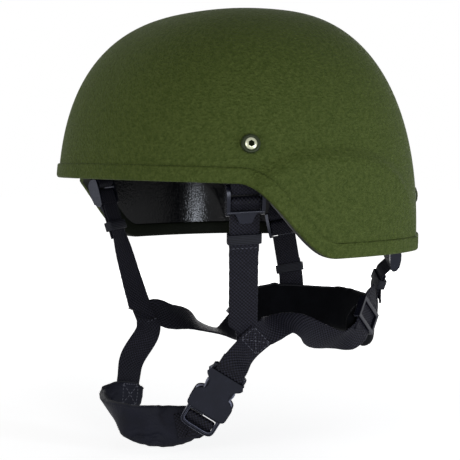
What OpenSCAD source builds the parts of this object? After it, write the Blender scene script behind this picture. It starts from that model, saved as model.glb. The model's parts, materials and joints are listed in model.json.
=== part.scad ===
/* [Shell] */
// Distance from the centre of the head to the front of the shell
front_reach = 137.6; // [131:0.2:144]
// Distance from the centre of the head to the back of the shell
rear_reach = 128.4; // [122:0.2:134]
// Half of the width of the shell
half_width = 121.4; // [115:0.2:128]
// Height of the crown
crown_h = 128.5; // [122:0.5:135]
// Height below which the wall runs straight down
skirt_z = -33.4; // [-40:0.2:-28]
// Thickness of the wall
shell_t = 8; // [7:0.5:9]
// Roundness of the outline seen from above, where 2 is an ellipse
plan_power = 2.22; // [2:0.02:2.4]
// Roundness of the profile at the brow
front_power = 2.65; // [2.4:0.05:2.9]
// Roundness of the profile at the back
rear_power = 1.7; // [1.6:0.05:1.9]
// Roundness of the profile at the sides
side_power = 3.05; // [2.8:0.05:3.3]

/* [Rim] */
// Height of the rim at the brow
brow_z = 7; // [3:0.5:12]
// How much lower the rim is at the temples than at the brow
brow_drop = 2; // [0:0.5:4]
// Height of the rim over the ears and the nape
ear_z = -45; // [-50:0.5:-40]
// Angle from the front at which the rim starts to fall
temple_start = 55; // [52:1:58]
// Angle from the front at which the rim is level again
temple_end = 84; // [80:1:88]
// Height of the rolled edge band on the outside
trim_h = 10.5; // [9:0.5:12]
// How far the band stands out of the wall
trim_t = 1.5; // [1.2:0.1:2]

/* [Ear swell] */
// How far the swell over the ear stands out
swell_out = 4.5; // [2:0.5:6]
// Height of the top of the swell
swell_top = 26; // [20:1:32]
// Angle from the front of the middle of the swell
swell_mid = 86; // [82:1:90]
// Angle that the swell takes in front of its middle
swell_ahead = 33; // [30:1:36]
// Angle that the swell takes behind its middle
swell_behind = 36; // [33:1:40]

/* [Bolts] */
// Radius of the bolt's shank
bolt_r = 3; // [2.5:0.1:3.5]
// Radius of the bolt's domed head
head_r = 4; // [3.8:0.1:5]
// Height of the domed head
head_h = 2.6; // [2:0.1:3.2]
// Radius of the cup washer
washer_r = 6.3; // [5.8:0.1:7.5]
// Height of the cup washer
washer_h = 2; // [1.6:0.1:2.4]
// Angle of the front bolts from the front
front_bolt_angle = 58.7; // [56:0.1:60]
// Height of the front bolts
front_bolt_z = 30.3; // [26:0.1:34]
// Angle of the rear bolts from the front
rear_bolt_angle = 144.5; // [140:0.5:148]
// Height of the rear bolts
rear_bolt_z = -7; // [-10:1:-4]

/* [Pads] */
// Thickness of the foam pads
pad_t = 19; // [13:1:22]
// Radius of the crown pad
crown_pad_r = 50; // [44:1:54]
// Half width of the front and rear pads
brow_pad_w = 50; // [44:1:54]
// Half height of the front and rear pads
brow_pad_h = 28; // [24:1:31]
// Half width of the side pads
side_pad_w = 27; // [23:1:29]
// Half height of the side pads
side_pad_h = 37; // [32:1:40]
// Radius of the hook-tape discs
disc_r = 16; // [12:1:20]

/* [Webbing] */
// Width of the webbing
strap_w = 20; // [18:0.5:22]
// Thickness of the webbing
strap_t = 1.5; // [1.2:0.1:1.8]
// Space between webbing and the frame that it runs through, each side
strap_gap = 0.5; // [0.4:0.1:0.8]

/* [Adjusters] */
// Thickness of the side plates of an adjuster
plate_t = 2.4; // [2:0.1:3]
// Radius of the top bar of an adjuster
bar_r = 1.8; // [1.5:0.1:2]
// Distance from the top bar to the friction bar
friction_drop = 7.5; // [7:0.1:8.5]
// Distance from the top bar to the thumb bar
thumb_drop = 14.5; // [14:0.5:16]
// Length of the thumb tab
thumb_h = 7.5; // [6:0.5:9]
// Height of the keeper loops
keeper_h = 7; // [5:0.5:9]
// Thickness of the keeper loops
keeper_t = 1.2; // [0.9:0.1:1.5]

/* [Nape] */
// Height of the nape pad
nape_h = 40; // [36:1:44]
// Thickness of the nape pad
nape_t = 8; // [6:0.5:10]
// Length of the nape sliders
slider_h = 18; // [16:1:20]

/* [Chin cup] */
// Height of the chin cup at its middle
cup_h = 32; // [28:1:35]
// Thickness of the chin cup
cup_t = 4; // [3:0.5:5]

/* [Buckle] */
// Length of the socket
socket_h = 34; // [32:1:38]
// Thickness of the socket
socket_t = 9; // [8.4:0.2:10]
// Thickness of the socket's walls and of the buckle's side rails
buckle_wall = 2.7; // [2.4:0.1:3]
// Length of the webbing frame of the plug
plug_h = 15; // [14:0.5:18]
// Length of the latch arms
arm_h = 22; // [20:0.5:23]
// Play between the plug and the socket
buckle_gap = 0.3; // [0.2:0.05:0.4]

/* [Hidden] */
$fn = 40;

shell_green = [0.30, 0.36, 0.20];
webbing_black = [0.08, 0.08, 0.10];
plastic_black = [0.12, 0.12, 0.15];
pad_black = [0.10, 0.10, 0.11];
bolt_steel = [0.62, 0.63, 0.58];

// Small gap between pieces that are glued, sewn or clamped together
seat = 0.15;
// Height of the flat washers over the curved wall at their middle
washer_seat = 0.5;
shell_columns = 96;
dome_rows = 13;
tab_t = strap_t;

// Small helpers
function unit(v) = v / norm(v);
function mix(a, b, t) = a + (b - a) * t;
function clamp01(t) = min(max(t, 0), 1);
function ease(t) = let (u = clamp01(t)) u * u * (3 - 2 * u);
function spow(v, e) = sign(v) * pow(abs(v), e);
function fold(phi) = phi > 180 ? 360 - phi : phi;

// Smooth curve through points, t from 0 to the number of points less one
function curve(p, t) =
  let (n = len(p), i = max(0, min(floor(t), n - 2)), f = t - i,
       b = p[i], c = p[i + 1],
       a = i == 0 ? 2 * b - c : p[i - 1],
       d = i + 2 > n - 1 ? 2 * c - b : p[i + 2])
  0.5 * (2 * b + (c - a) * f + (2 * a - 5 * b + 4 * c - d) * f * f + (3 * b - a - 3 * c + d) * f * f * f);

// A frame is [origin, across, out, along]
function frame_on(p, facing, t) =
  let (last = len(p) - 1, o = curve(p, t),
       d = unit(curve(p, min(t + 0.03, last)) - curve(p, max(t - 0.03, 0))),
       h = curve(facing, t), f = unit(h - (h * d) * d))
  [o, cross(d, f), f, d];
function in_frame(fr, p) = fr[0] + fr[1] * p.x + fr[2] * p.y + fr[3] * p.z;
function dir_in_frame(fr, p) = fr[1] * p.x + fr[2] * p.y + fr[3] * p.z;

module place(fr) {
  multmatrix([
    [fr[1].x, fr[2].x, fr[3].x, fr[0].x],
    [fr[1].y, fr[2].y, fr[3].y, fr[0].y],
    [fr[1].z, fr[2].z, fr[3].z, fr[0].z],
    [0, 0, 0, 1]
  ]) children();
}

// Closed skin over a row of rings, with a cap at each end
module skin(rings) {
  n = len(rings);
  m = len(rings[0]);
  first = n * m;
  function middle(r) = [for (i = [0:2]) let (s = [for (q = r) q[i]]) s * [for (q = r) 1] / m];
  points = concat([for (r = rings) for (q = r) q], [middle(rings[0]), middle(rings[n - 1])]);
  sides = [for (i = [0:n - 2]) for (j = [0:m - 1])
    let (k = (j + 1) % m, a = i * m + j, b = i * m + k, c = (i + 1) * m + k, d = (i + 1) * m + j)
    each [[a, b, c], [a, c, d]]];
  start = [for (j = [0:m - 1]) [first, (j + 1) % m, j]];
  end = [for (j = [0:m - 1]) [first + 1, (n - 1) * m + j, (n - 1) * m + (j + 1) % m]];
  polyhedron(points, concat(start, sides, end));
}

// Closed band whose last ring meets its first
module band(rings) {
  n = len(rings);
  m = len(rings[0]);
  points = [for (r = rings) for (q = r) q];
  faces = [for (i = [0:n - 1]) for (j = [0:m - 1])
    let (k = (j + 1) % m, e = (i + 1) % n, a = i * m + j, b = i * m + k, c = e * m + k, d = e * m + j)
    each [[a, b, d], [b, c, d]]];
  polyhedron(points, faces);
}

// Flat webbing along a curve
module webbing(path, facing, width = strap_w, thick = strap_t, lift = 0, from = 0, to = -1, steps = 5) {
  last = to < 0 ? len(path) - 1 : to;
  count = ceil((last - from) * steps);
  skin([for (i = [0:count])
    let (fr = frame_on(path, facing, from + (last - from) * i / count), w = width / 2, h = thick / 2)
    [in_frame(fr, [w, lift + h, 0]), in_frame(fr, [-w, lift + h, 0]),
     in_frame(fr, [-w, lift - h, 0]), in_frame(fr, [w, lift - h, 0])]]);
}

// Soft band along a curve: widths and thicknesses are given at the same points as the path
module soft_band(path, facing, widths, thick, steps = 4, sides = 16) {
  last = len(path) - 1;
  count = last * steps;
  skin([for (i = [0:count])
    let (t = last * i / count, fr = frame_on(path, facing, t), w = curve(widths, t) / 2,
         h = thick / 2 * (i == 0 || i == count ? 0.55 : 1))
    [for (j = [0:sides - 1]) let (q = 360 * j / sides)
      in_frame(fr, [w * spow(cos(q), 0.45), h * spow(sin(q), 0.8), 0])]]);
}

// The wall of the shell
function reach(phi) = cos(phi) > 0 ? front_reach : rear_reach;
function profile_power(phi) =
  side_power + ((cos(phi) > 0 ? front_power : rear_power) - side_power) * pow(cos(phi), 2);
function plan(phi, inset) =
  [(half_width - inset) * spow(sin(phi), 2 / plan_power),
   -(reach(phi) - inset) * spow(cos(phi), 2 / plan_power)];
function swell_edge(phi, z) =
  let (a = fold(phi) - swell_mid, ahead = a < 0,
       u = abs(a) / (ahead ? swell_ahead : swell_behind),
       v = max(0, (z - ear_z) / (swell_top - ear_z)), e = ahead ? 2.6 : 2)
  pow(pow(u, e) + pow(v, e), 1 / e);
function swell(phi, z) = swell_out * ease((1.07 - swell_edge(phi, z)) / 0.17);
function with_swell(phi, p) =
  let (away = unit([p.x / pow(half_width, 2), p.y / pow(reach(phi), 2), 0]))
  p + away * swell(phi, p.z);
function wall_point(phi, z, inset) =
  let (h = crown_h - skirt_z - inset, g = clamp01((z - skirt_z) / h), m = profile_power(phi),
       q = plan(phi, inset) * pow(1 - pow(g, m), 1 / m))
  with_swell(phi, [q.x, q.y, z]);
function dome_point(phi, theta, inset) =
  let (m = profile_power(phi), q = plan(phi, inset) * pow(sin(theta), 2 / m))
  with_swell(phi, [q.x, q.y, skirt_z + (crown_h - skirt_z - inset) * pow(cos(theta), 2 / m)]);
// Where a ray from the middle of the dome meets the wall, moved in by inset
function dome_hit(ray, inset) =
  let (a = pow(abs(ray.x) / (half_width - inset), plan_power),
       b = pow(abs(ray.y) / ((ray.y < 0 ? front_reach : rear_reach) - inset), plan_power),
       k = pow(a + b, 1 / plan_power), share = b / max(a + b, 1e-9),
       m = side_power + ((ray.y < 0 ? front_power : rear_power) - side_power) * share,
       g = max(ray.z, 0) / (crown_h - skirt_z - inset),
       t = pow(pow(k, m) + pow(g, m), -1 / m), p = [ray.x * t, ray.y * t, skirt_z + ray.z * t],
       phi = atan2(sqrt(a), (ray.y < 0 ? 1 : -1) * sqrt(b)))
  p + (norm([p.x, p.y]) < 1 ? [0, 0, 0] : unit([p.x, p.y, 0]) * swell(phi, p.z));
function out_at(phi, z) =
  let (a = wall_point(phi - 1, z, 0), b = wall_point(phi + 1, z, 0),
       c = wall_point(phi, z - 1, 0), d = wall_point(phi, z + 1, 0))
  unit(cross(b - a, d - c));

// The rim
function rim_z(phi) =
  let (p = fold(phi), brow = brow_z - brow_drop * pow(min(p, temple_start) / temple_start, 2))
  mix(brow, ear_z, ease((p - temple_start) / (temple_end - temple_start)));
function rim_slope(phi) = (rim_z(phi + 1) - rim_z(phi - 1)) / (2 * half_width * PI / 180);
function above_rim(phi, h) = rim_z(phi) + h * sqrt(1 + pow(rim_slope(phi), 2));
trim_floor = 2.2;
trim_mid = 6.3;
trim_gap = 0.25;

function columns(n) = [for (i = [0:n - 1]) 360 * i / n];
// The dome's rows end at the skirt, or above the rim where the rim is higher
function lowest_theta(phi, lowest, inset) =
  let (m = profile_power(phi), g = clamp01((lowest - skirt_z) / (crown_h - skirt_z - inset)))
  acos(pow(g, m / 2));
function dome_row(share, inset) =
  [for (phi = columns(shell_columns))
    let (low = max(above_rim(phi, trim_h + 3), skirt_z), end = lowest_theta(phi, low, inset))
    dome_point(phi, 4 + (end - 4) * share, inset)];
// Height over the rim, measured square to the rim's slope above the rolled bottom
function rim_level(phi, h) = h > 4 ? above_rim(phi, h) : rim_z(phi) + h;
function rim_row(h, inset) = [for (phi = columns(shell_columns)) wall_point(phi, rim_level(phi, h), inset)];

module shell() {
  color(shell_green) difference() {
    skin(concat(
      [for (i = [0:dome_rows]) dome_row(i / dome_rows, 0)],
      [for (h = [trim_h, trim_mid, trim_floor + trim_gap]) rim_row(h, 0)],
      [for (h = [trim_floor + trim_gap, trim_mid, trim_h]) rim_row(h, shell_t)],
      [for (i = [dome_rows:-1:0]) dome_row(i / dome_rows, shell_t)]));
    for (side = [-1, 1])
      for (fr = [front_bolt_frame(side), rear_bolt_frame(side)])
        place(fr) translate([0, 0, -2 * shell_t]) cylinder(r = bolt_r + 0.3, h = 3 * shell_t);
  }
}

// Rolled band round the rim, a channel that grips both faces of the wall
module edge_trim() {
  back = shell_t + trim_gap;
  stations = [
    [-trim_t + 0.8, trim_h], [-trim_t, trim_h - 1.2], [-trim_t, 2.4], [-trim_t + 1.2, 0.5], [2, 0],
    [shell_t - 1, 0], [back + 1.1, 1], [back + 1.6, 3], [back + 1.6, trim_h - 1],
    [back + 0.7, trim_h], [back, trim_h], [back, trim_mid], [back, trim_floor], [-trim_gap, trim_floor],
    [-trim_gap, trim_mid], [-trim_gap, trim_h]
  ];
  color(shell_green) band([for (s = stations) rim_row(s[1], s[0])]);
}

// Bolts: the frame's last axis points out of the shell
function bolt_frame(phi, z, side) =
  let (o = wall_point(phi, z, 0), n = out_at(phi, z), m = [side, 1, 1],
       out = [n.x * side, n.y, n.z], x = unit(cross([0, 0, 1], out)))
  [[o.x * side, o.y, o.z], x, cross(out, x), out];
function front_bolt_frame(side) = bolt_frame(front_bolt_angle, front_bolt_z, side);
function rear_bolt_frame(side) = bolt_frame(rear_bolt_angle, rear_bolt_z, side);
function bolt_frames() = [for (side = [1, -1]) each [front_bolt_frame(side), rear_bolt_frame(side)]];

module bolt_washers() {
  color(shell_green) for (fr = bolt_frames()) place(fr) translate([0, 0, washer_seat])
    difference() {
      union() {
        cylinder(r = washer_r, h = washer_h * 0.55);
        cylinder(r1 = washer_r, r2 = washer_r - 0.7, h = washer_h);
      }
      translate([0, 0, 0.8]) cylinder(r = head_r + 0.15, h = washer_h);
      translate([0, 0, -1]) cylinder(r = bolt_r + 0.15, h = washer_h + 2);
    }
}

tab_depth = shell_t + 1.8 + tab_t / 2;
eyelet_depth = tab_depth + tab_t / 2 + seat;
eyelet_t = 0.8;
eyelet_r = 6.5;
nut_depth = eyelet_depth + eyelet_t + seat;
nut_h = 5;

module strap_bolts() {
  color(bolt_steel) for (fr = bolt_frames()) place(fr) {
    difference() {
      translate([0, 0, washer_seat + 0.8 + seat]) intersection() {
        cylinder(r = head_r, h = head_h);
        translate([0, 0, head_h - head_r * 1.6]) sphere(r = head_r * 1.6);
      }
      translate([0, 0, washer_seat + head_h - 0.8]) cylinder(r = 1.6, h = 4, $fn = 6);
    }
    translate([0, 0, -nut_depth - nut_h - 0.6]) cylinder(r = bolt_r, h = nut_depth + nut_h + 2);
  }
}

module bolt_nuts() {
  color(bolt_steel) for (fr = bolt_frames()) place(fr) translate([0, 0, -nut_depth - nut_h])
    difference() {
      union() {
        cylinder(r = bolt_r + 2.6, h = nut_h, $fn = 6);
        translate([0, 0, nut_h - 1.2]) cylinder(r = bolt_r + 3.2, h = 1.2);
      }
      translate([0, 0, -1]) cylinder(r = bolt_r + 0.05, h = nut_h + 2);
    }
}

module anchor_eyelets() {
  color(bolt_steel) for (fr = bolt_frames()) place(fr) translate([0, 0, -eyelet_depth - eyelet_t])
    difference() {
      cylinder(r = eyelet_r, h = eyelet_t);
      translate([0, 0, -1]) cylinder(r = bolt_r + 0.2, h = eyelet_t + 2);
    }
}

// Foam pads: a direction from the middle of the dome, half sizes and a taper
disc_t = 1;
disc_seat = shell_t + 0.5;
pad_seat = disc_seat + disc_t + seat;
function pad_axes(phi, rise) =
  let (c = [sin(phi) * cos(rise), -cos(phi) * cos(rise), sin(rise)],
       e1 = unit(cross([-sin(phi) * sin(rise), cos(phi) * sin(rise), cos(rise)], c)))
  [c, e1, cross(c, e1)];
function pad_ring(axes, half, power, taper, share, inset, count, pull) =
  let (far = norm(dome_hit(axes[0], inset) - [0, 0, skirt_z]))
  [for (j = [0:count - 1])
    let (q = 360 * j / count, c = spow(cos(q), 2 / power), s = spow(sin(q), 2 / power),
         draw = 1 - pull * pow(cos(2 * q), 2))
    dome_hit(axes[0] * far + axes[1] * half[0] * c * (1 - taper * s) * share * draw
      + axes[2] * half[1] * s * share * draw, inset)];

module pad(phi, rise, half, power = 3, taper = 0, count = 28) {
  axes = pad_axes(phi, rise);
  // Each row is the share of the outline and the share of the thickness
  rows = [[0.45, 0], [0.9, 0], [0.98, 0.1], [1, 0.45], [0.97, 0.75], [0.88, 0.93], [0.6, 1], [0.25, 1.02]];
  color(pad_black) skin([for (r = rows)
    pad_ring(axes, half, power, taper, r[0], pad_seat + pad_t * r[1], count, 0.03)]);
}

pad_sites = [
  [0, 90, [crown_pad_r, crown_pad_r], 2, 0],
  [0, 40, [brow_pad_w, brow_pad_h], 3, 0.1],
  [180, 36, [brow_pad_w, brow_pad_h], 3, 0.1],
  [57, 50, [side_pad_w, side_pad_h * 0.92], 3, 0.12],
  [112, 43, [side_pad_w, side_pad_h * 0.95], 3, 0.12]
];

module pad_at(i, side = 1) {
  s = pad_sites[i];
  mirror([side < 0 ? 1 : 0, 0, 0]) pad(s[0], s[1], s[2], s[3], s[4]);
}

module hook_discs() {
  color(pad_black) for (i = [0:4]) for (side = i < 3 ? [1] : [1, -1]) {
    axes = pad_axes(pad_sites[i][0], pad_sites[i][1]);
    mirror([side < 0 ? 1 : 0, 0, 0]) skin([for (r = [[0.5, 0], [1, 0], [1, 1], [0.5, 1]])
      pad_ring(axes, [disc_r, disc_r], 2, 0, r[0], disc_seat + disc_t * r[1], 20, 0)]);
  }
}

// Where the webbing goes, on the left side: the cheek joint, the keepers and the nape
cheek = [62.2, -48.6, -102.3];
front_hinge_angle = 57.7;
front_hinge_z = 1;
front_hinge_inset = 18.8;
front_out = unit([0.885, -0.465, 0]);
right_out = unit([0.995, 0.1, 0]);
rear_keeper_at = [52, 91, -72];
rear_hinge_z_left = -44;
rear_hinge_z_right = -28;
rear_inset_left = 17;
rear_inset_right = 20;
rear_lean_left = 16;
rear_lean_right = 3;

// Frame of an adjuster: the last axis points up along the strap, the middle one outwards
function hang(o, target, out, lean) =
  let (z0 = unit(o - target), x0 = unit(cross(out, z0)), y0 = cross(z0, x0),
       z = z0 * cos(lean) - y0 * sin(lean), y = y0 * cos(lean) + z0 * sin(lean))
  [o, cross(y, z), y, z];
function front_frame() =
  hang(wall_point(front_hinge_angle, front_hinge_z, front_hinge_inset), cheek, front_out, 0);
function cheek_out(side) =
  let (d = front_frame()[3], n = side > 0 ? front_out : right_out) unit(n - (n * d) * d);
function on_cheek(side, along, down, lift) =
  let (d = front_frame()[3], n = cheek_out(side)) cheek + cross(d, n) * along - d * down + n * lift;
layer = strap_t + 0.35;
function rear_hinge(z) =
  wall_point(rear_bolt_angle, z, z == rear_hinge_z_left ? rear_inset_left : rear_inset_right);
function rear_frame(z, lean) =
  hang(rear_hinge(z), rear_keeper_at, out_at(rear_bolt_angle, rear_bolt_z), lean);
function rear_z(side) = side > 0 ? rear_hinge_z_left : rear_hinge_z_right;
function rear_lean(side) = side > 0 ? rear_lean_left : rear_lean_right;

// Webbing tab from the bolt down to the top bar of the adjuster
loop_r = bar_r + 0.35 + tab_t / 2;
module anchor(bolt_at, bolt_z, fr) {
  bolt = bolt_frame(bolt_at, bolt_z, 1);
  knee_z = above_rim(bolt_at, trim_h) + 1;
  knee = knee_z > fr[0].z + 10 ? [wall_point(bolt_at, knee_z, shell_t + 6.6)] : [];
  path = concat(
    [for (up = [9.5, 0, -8]) in_frame(bolt, [0, up, -tab_depth])], knee,
    [in_frame(fr, [0, loop_r + 0.3, 7]), in_frame(fr, [0, loop_r, 0]),
     in_frame(fr, [0, loop_r * 0.7, -loop_r * 0.7]), in_frame(fr, [0, 0, -loop_r]),
     in_frame(fr, [0, -loop_r * 0.7, -loop_r * 0.7]), in_frame(fr, [0, -loop_r, 0]),
     in_frame(fr, [0, -loop_r + 1.2, 6])]);
  facing = concat([bolt[3], bolt[3], bolt[3]], len(knee) > 0 ? [bolt[3] + fr[2]] : [],
    [fr[2], fr[2], dir_in_frame(fr, [0, 0.7, -0.7]), -fr[3], dir_in_frame(fr, [0, -0.7, -0.7])],
    [-fr[2], -fr[2]]);
  color(webbing_black) difference() {
    webbing(path, facing, thick = tab_t, steps = 4);
    place(bolt) translate([0, 0, -2 * tab_depth]) cylinder(r = bolt_r + 0.4, h = 2 * tab_depth);
  }
}

// Moulded adjuster, hung on its top bar at the frame's origin
adjuster_w = strap_w + 2 * (strap_gap + plate_t);
plate_outline = [
  [-2.8, 2.2], [-1.4, 3.4], [1.2, 3.6], [3.4, 2.4], [5, 0], [5.8, -4.5], [5.8, -9], [5, -thumb_drop + 1],
  [3.6, -thumb_drop - 2], [1.6, -thumb_drop - 3.4], [-0.4, -thumb_drop - 3.4], [-1.8, -thumb_drop - 1.6],
  [-2.6, -9], [-3, -3]
];
module adjuster(fr) {
  tab_half = strap_w / 2 - 2.8;
  color(plastic_black) place(fr) {
    for (side = [-1, 1])
      translate([side * (adjuster_w - plate_t) / 2 - plate_t / 2, 0, 0])
        rotate([90, 0, 90]) linear_extrude(plate_t) polygon(plate_outline);
    translate([-adjuster_w / 2 + 0.4, 0, 0]) rotate([0, 90, 0]) cylinder(r = bar_r, h = adjuster_w - 0.8);
    translate([-adjuster_w / 2 + 0.4, 1.4, -friction_drop]) rotate([0, 90, 0])
      cylinder(r = 1.4, h = adjuster_w - 0.8);
    translate([-adjuster_w / 2 + 0.4, 4.1, -thumb_drop]) rotate([0, 90, 0])
      cylinder(r = 1.1, h = adjuster_w - 0.8);
    translate([0, 5.1, -thumb_drop]) rotate([90, 0, 0]) linear_extrude(1.7)
      polygon([[-tab_half, 0.9], [tab_half, 0.9], [tab_half, -1], [tab_half - 1.4, -3.2],
        [tab_half - 2.6, -thumb_h + 1], [tab_half - 3.6, -thumb_h], [-tab_half + 3.6, -thumb_h],
        [-tab_half + 2.6, -thumb_h + 1], [-tab_half + 1.4, -3.2], [-tab_half, -1]]);
  }
}

// The fold of webbing inside an adjuster, over the friction bar
load_y = -1.1;
tail_y = load_y + strap_t + 0.35;
wrap_end = -thumb_drop - 1.6;
function wrap_path(fr) = let (r = 1.4 + 0.3 + strap_t / 2, c = -friction_drop) [
  in_frame(fr, [0, load_y, wrap_end]), in_frame(fr, [0, load_y, c - 4]),
  in_frame(fr, [0, 1.4 - r, c]), in_frame(fr, [0, 1.4 - r * 0.7, c + r * 0.7]),
  in_frame(fr, [0, 1.4, c + r]), in_frame(fr, [0, 1.4 + r * 0.7, c + r * 0.7]),
  in_frame(fr, [0, 1.4 + r, c]), in_frame(fr, [0, tail_y + 1, -thumb_drop + 2.5]),
  in_frame(fr, [0, tail_y, wrap_end])];
function wrap_facing(fr) = [
  -fr[2], -fr[2], -fr[2], dir_in_frame(fr, [0, -0.7, 0.7]), fr[3], dir_in_frame(fr, [0, 0.7, 0.7]),
  fr[2], fr[2], fr[2]];
module wrap(fr) {
  color(webbing_black) webbing(wrap_path(fr), wrap_facing(fr), steps = 3);
}

// Front straps run straight from the adjuster to the cheek joint
front_keeper_drop = 34.5;
function front_length() = norm(front_frame()[0] - cheek);
function front_path() = let (fr = front_frame(), l = front_length()) [
  in_frame(fr, [0, load_y, wrap_end - 0.4]), in_frame(fr, [0, load_y, -front_keeper_drop + 8]),
  in_frame(fr, [0, load_y, -front_keeper_drop]), in_frame(fr, [0, load_y, -front_keeper_drop - 10]),
  in_frame(fr, [0, -0.3, -l * 0.62]), in_frame(fr, [0, 0, -l * 0.8]), cheek, cheek - fr[3] * 5];
function front_facing(side) =
  let (f = front_frame()[2], n = cheek_out(side)) [f, f, f, f, f * 1.5 + n, f + n * 1.6, n, n];
tail_h = 28;
module front_strap(side) {
  fr = front_frame();
  tail = [for (z = [wrap_end - 0.4, -front_keeper_drop, wrap_end - tail_h]) in_frame(fr, [0, tail_y, z])];
  color(webbing_black) {
    webbing(front_path(), front_facing(side), steps = 4);
    webbing(tail, [fr[2], fr[2], fr[2]], steps = 2);
  }
}

// Rear straps: from the adjuster past the keeper to the nape pad
function keeper_line(z) = unit(rear_hinge(z) - rear_keeper_at);
function rear_path(side) =
  let (fr = rear_frame(rear_z(side), rear_lean(side)), up = keeper_line(rear_z(side))) [
  in_frame(fr, [0, load_y, wrap_end - 0.8]), for (d = [7, 2.5, -2.5, -7]) rear_keeper_at + up * d,
  nape_on(4.5, nape_z + 13, nape_lift + 0.6), nape_on(4.5, nape_z + 1, nape_lift + 0.3)];
function rear_facing(side) =
  let (f = rear_frame(rear_z(side), 0)[2], g = nape_out(4.5)) [rear_frame(rear_z(side), rear_lean(side))[2],
  f, f, f, f, g, g];
module rear_strap(side) {
  path = rear_path(side);
  facing = rear_facing(side);
  tail = [for (i = [1:5]) path[i] + facing[i] * (layer + (i == 5 ? 0.8 : 0))];
  color(webbing_black) {
    webbing(path, facing, steps = 4);
    webbing(tail, [for (i = [1:5]) facing[i]], steps = 3);
  }
}

module keeper(fr) {
  w = strap_w + 0.8;
  h = 2 * strap_t + 0.35 + 1;
  color(webbing_black) place(fr) translate([0, (strap_t + 0.35) / 2, -keeper_h / 2])
    linear_extrude(keeper_h) difference() {
      rounded(w + 2 * keeper_t, h + 2 * keeper_t, 1);
      square([w, h], center = true);
    }
}

module rounded(w, h, r) {
  square([w - 2 * r, h], center = true);
  square([w, h - 2 * r], center = true);
  for (x = [-1, 1])
    for (y = [-1, 1])
      translate([x * (w / 2 - r), y * (h / 2 - r)]) circle(r, $fn = 16);
}

function frame_up(fr) = [fr[0], -fr[1], fr[2], -fr[3]];
function front_keeper_frame() = let (fr = front_frame())
  [in_frame(fr, [0, load_y, -front_keeper_drop]), fr[1], fr[2], fr[3]];
function rear_keeper_frame(side) = frame_up(frame_on(rear_path(side), rear_facing(side), 2.5));

// Nape pad: a crowned band behind the neck
nape_z = -103;
nape_path = [[-63.5, 47, nape_z], [-60, 65, nape_z], [-54, 79, nape_z], [-35, 97, nape_z], [0, 106, nape_z],
  [35, 97, nape_z], [54, 79, nape_z], [60, 65, nape_z], [63.5, 47, nape_z]];
nape_facing = [[-0.97, 0.2, 0], [-0.93, 0.36, 0], [-0.82, 0.57, 0], [-0.45, 0.9, 0], [0, 1, 0],
  [0.45, 0.9, 0], [0.82, 0.57, 0], [0.93, 0.36, 0], [0.97, 0.2, 0]];
nape_lift = nape_t / 2 + seat + strap_t / 2;
// A place on the pad's outer face, counted from the middle of the nape to the left end
function nape_at(t) = frame_on(nape_path, nape_facing, t + 1);
function nape_out(t) = nape_at(t)[2];
function nape_on(t, z, lift) = let (fr = nape_at(t), p = fr[0] + fr[2] * lift) [p.x, p.y, z];
module nape_pad() {
  h = nape_h;
  color(pad_black) soft_band(nape_path, nape_facing,
    [h * 0.45, h * 0.9, h, h * 0.95, h, h * 0.95, h, h * 0.9, h * 0.45], nape_t, steps = 3);
}

// Lower webbing from the nape pad, through the slider and round to the cheek joint
function slider_at(side) = side > 0 ? [67.5, 64, -96] : [70, 57, -109];
slider_up = unit([-5, 13, 16]);
function nape_route(side) = concat(
  [side > 0 ? nape_on(5.2, -83.5, nape_lift + 1.2) : nape_on(5.5, -96, nape_lift + 1.2)],
  [for (d = [13, 10, 0, -11, -13.5]) slider_at(side) + slider_up * d],
  side > 0
    ? [[70, 47, -111], [66.5, 34, -111.5], [64.5, 17, -106.5], [64.5, 2, -98.5], [65, -12, -95],
      [66, -24, -97], on_cheek(1, 13, -1, -layer - 0.9), on_cheek(1, 5, 0, -layer - 0.1),
      on_cheek(1, -4, 1, -layer)]
    : [[68.5, 42, -122], [61, 32, -123], [58, 20, -119.5], [59.5, 5, -114], [61, -8, -107], [61, -24, -104],
      on_cheek(-1, 13, -1, layer + 1.8), on_cheek(-1, 5, 1, layer + 0.4), on_cheek(-1, -5, 2, layer)]);
function nape_turn(side) = concat(
  [nape_out(side > 0 ? 5.2 : 5.5)], [for (i = [0:4]) [0.96, 0.27, 0]],
  side > 0
    ? [[0.95, 0.1, -0.25], [0.7, 0.1, -0.7], [0.95, 0, -0.3], [0.85, 0, 0.5], [0.6, -0.1, 0.8],
      [0.75, -0.25, 0.6], cheek_out(1), cheek_out(1), cheek_out(1)]
    : [[0.8, 0, -0.55], [0.35, -0.25, -0.85], [0.2, -0.36, -0.9], [0.35, -0.2, -0.9], [0.75, 0, -0.6],
      [0.95, 0.05, -0.3], cheek_out(-1), cheek_out(-1), cheek_out(-1)]);
module nape_strap(side) {
  color(webbing_black) webbing(nape_route(side), nape_turn(side), steps = 3);
}

module nape_slider(side) {
  rail = 2.4;
  w = strap_w + 2 * (strap_gap + rail);
  t = strap_t + 0.7;
  fr = frame_up(frame_on(nape_route(side), nape_turn(side), 3));
  color(plastic_black) place(fr) {
    for (side = [-1, 1])
      translate([side * (w - rail) / 2 - rail / 2, -t / 2 - 1.3, -slider_h / 2])
        cube([rail, t + 2.8, slider_h]);
    for (side = [-1, 1])
      translate([-w / 2, t / 2, side * (slider_h - 3.2) / 2 - 1.6]) cube([w, 1.5, 3.2]);
    translate([-w / 2, -t / 2 - 1.3, -1.6]) cube([w, 1.3, 3.2]);
  }
}

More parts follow.
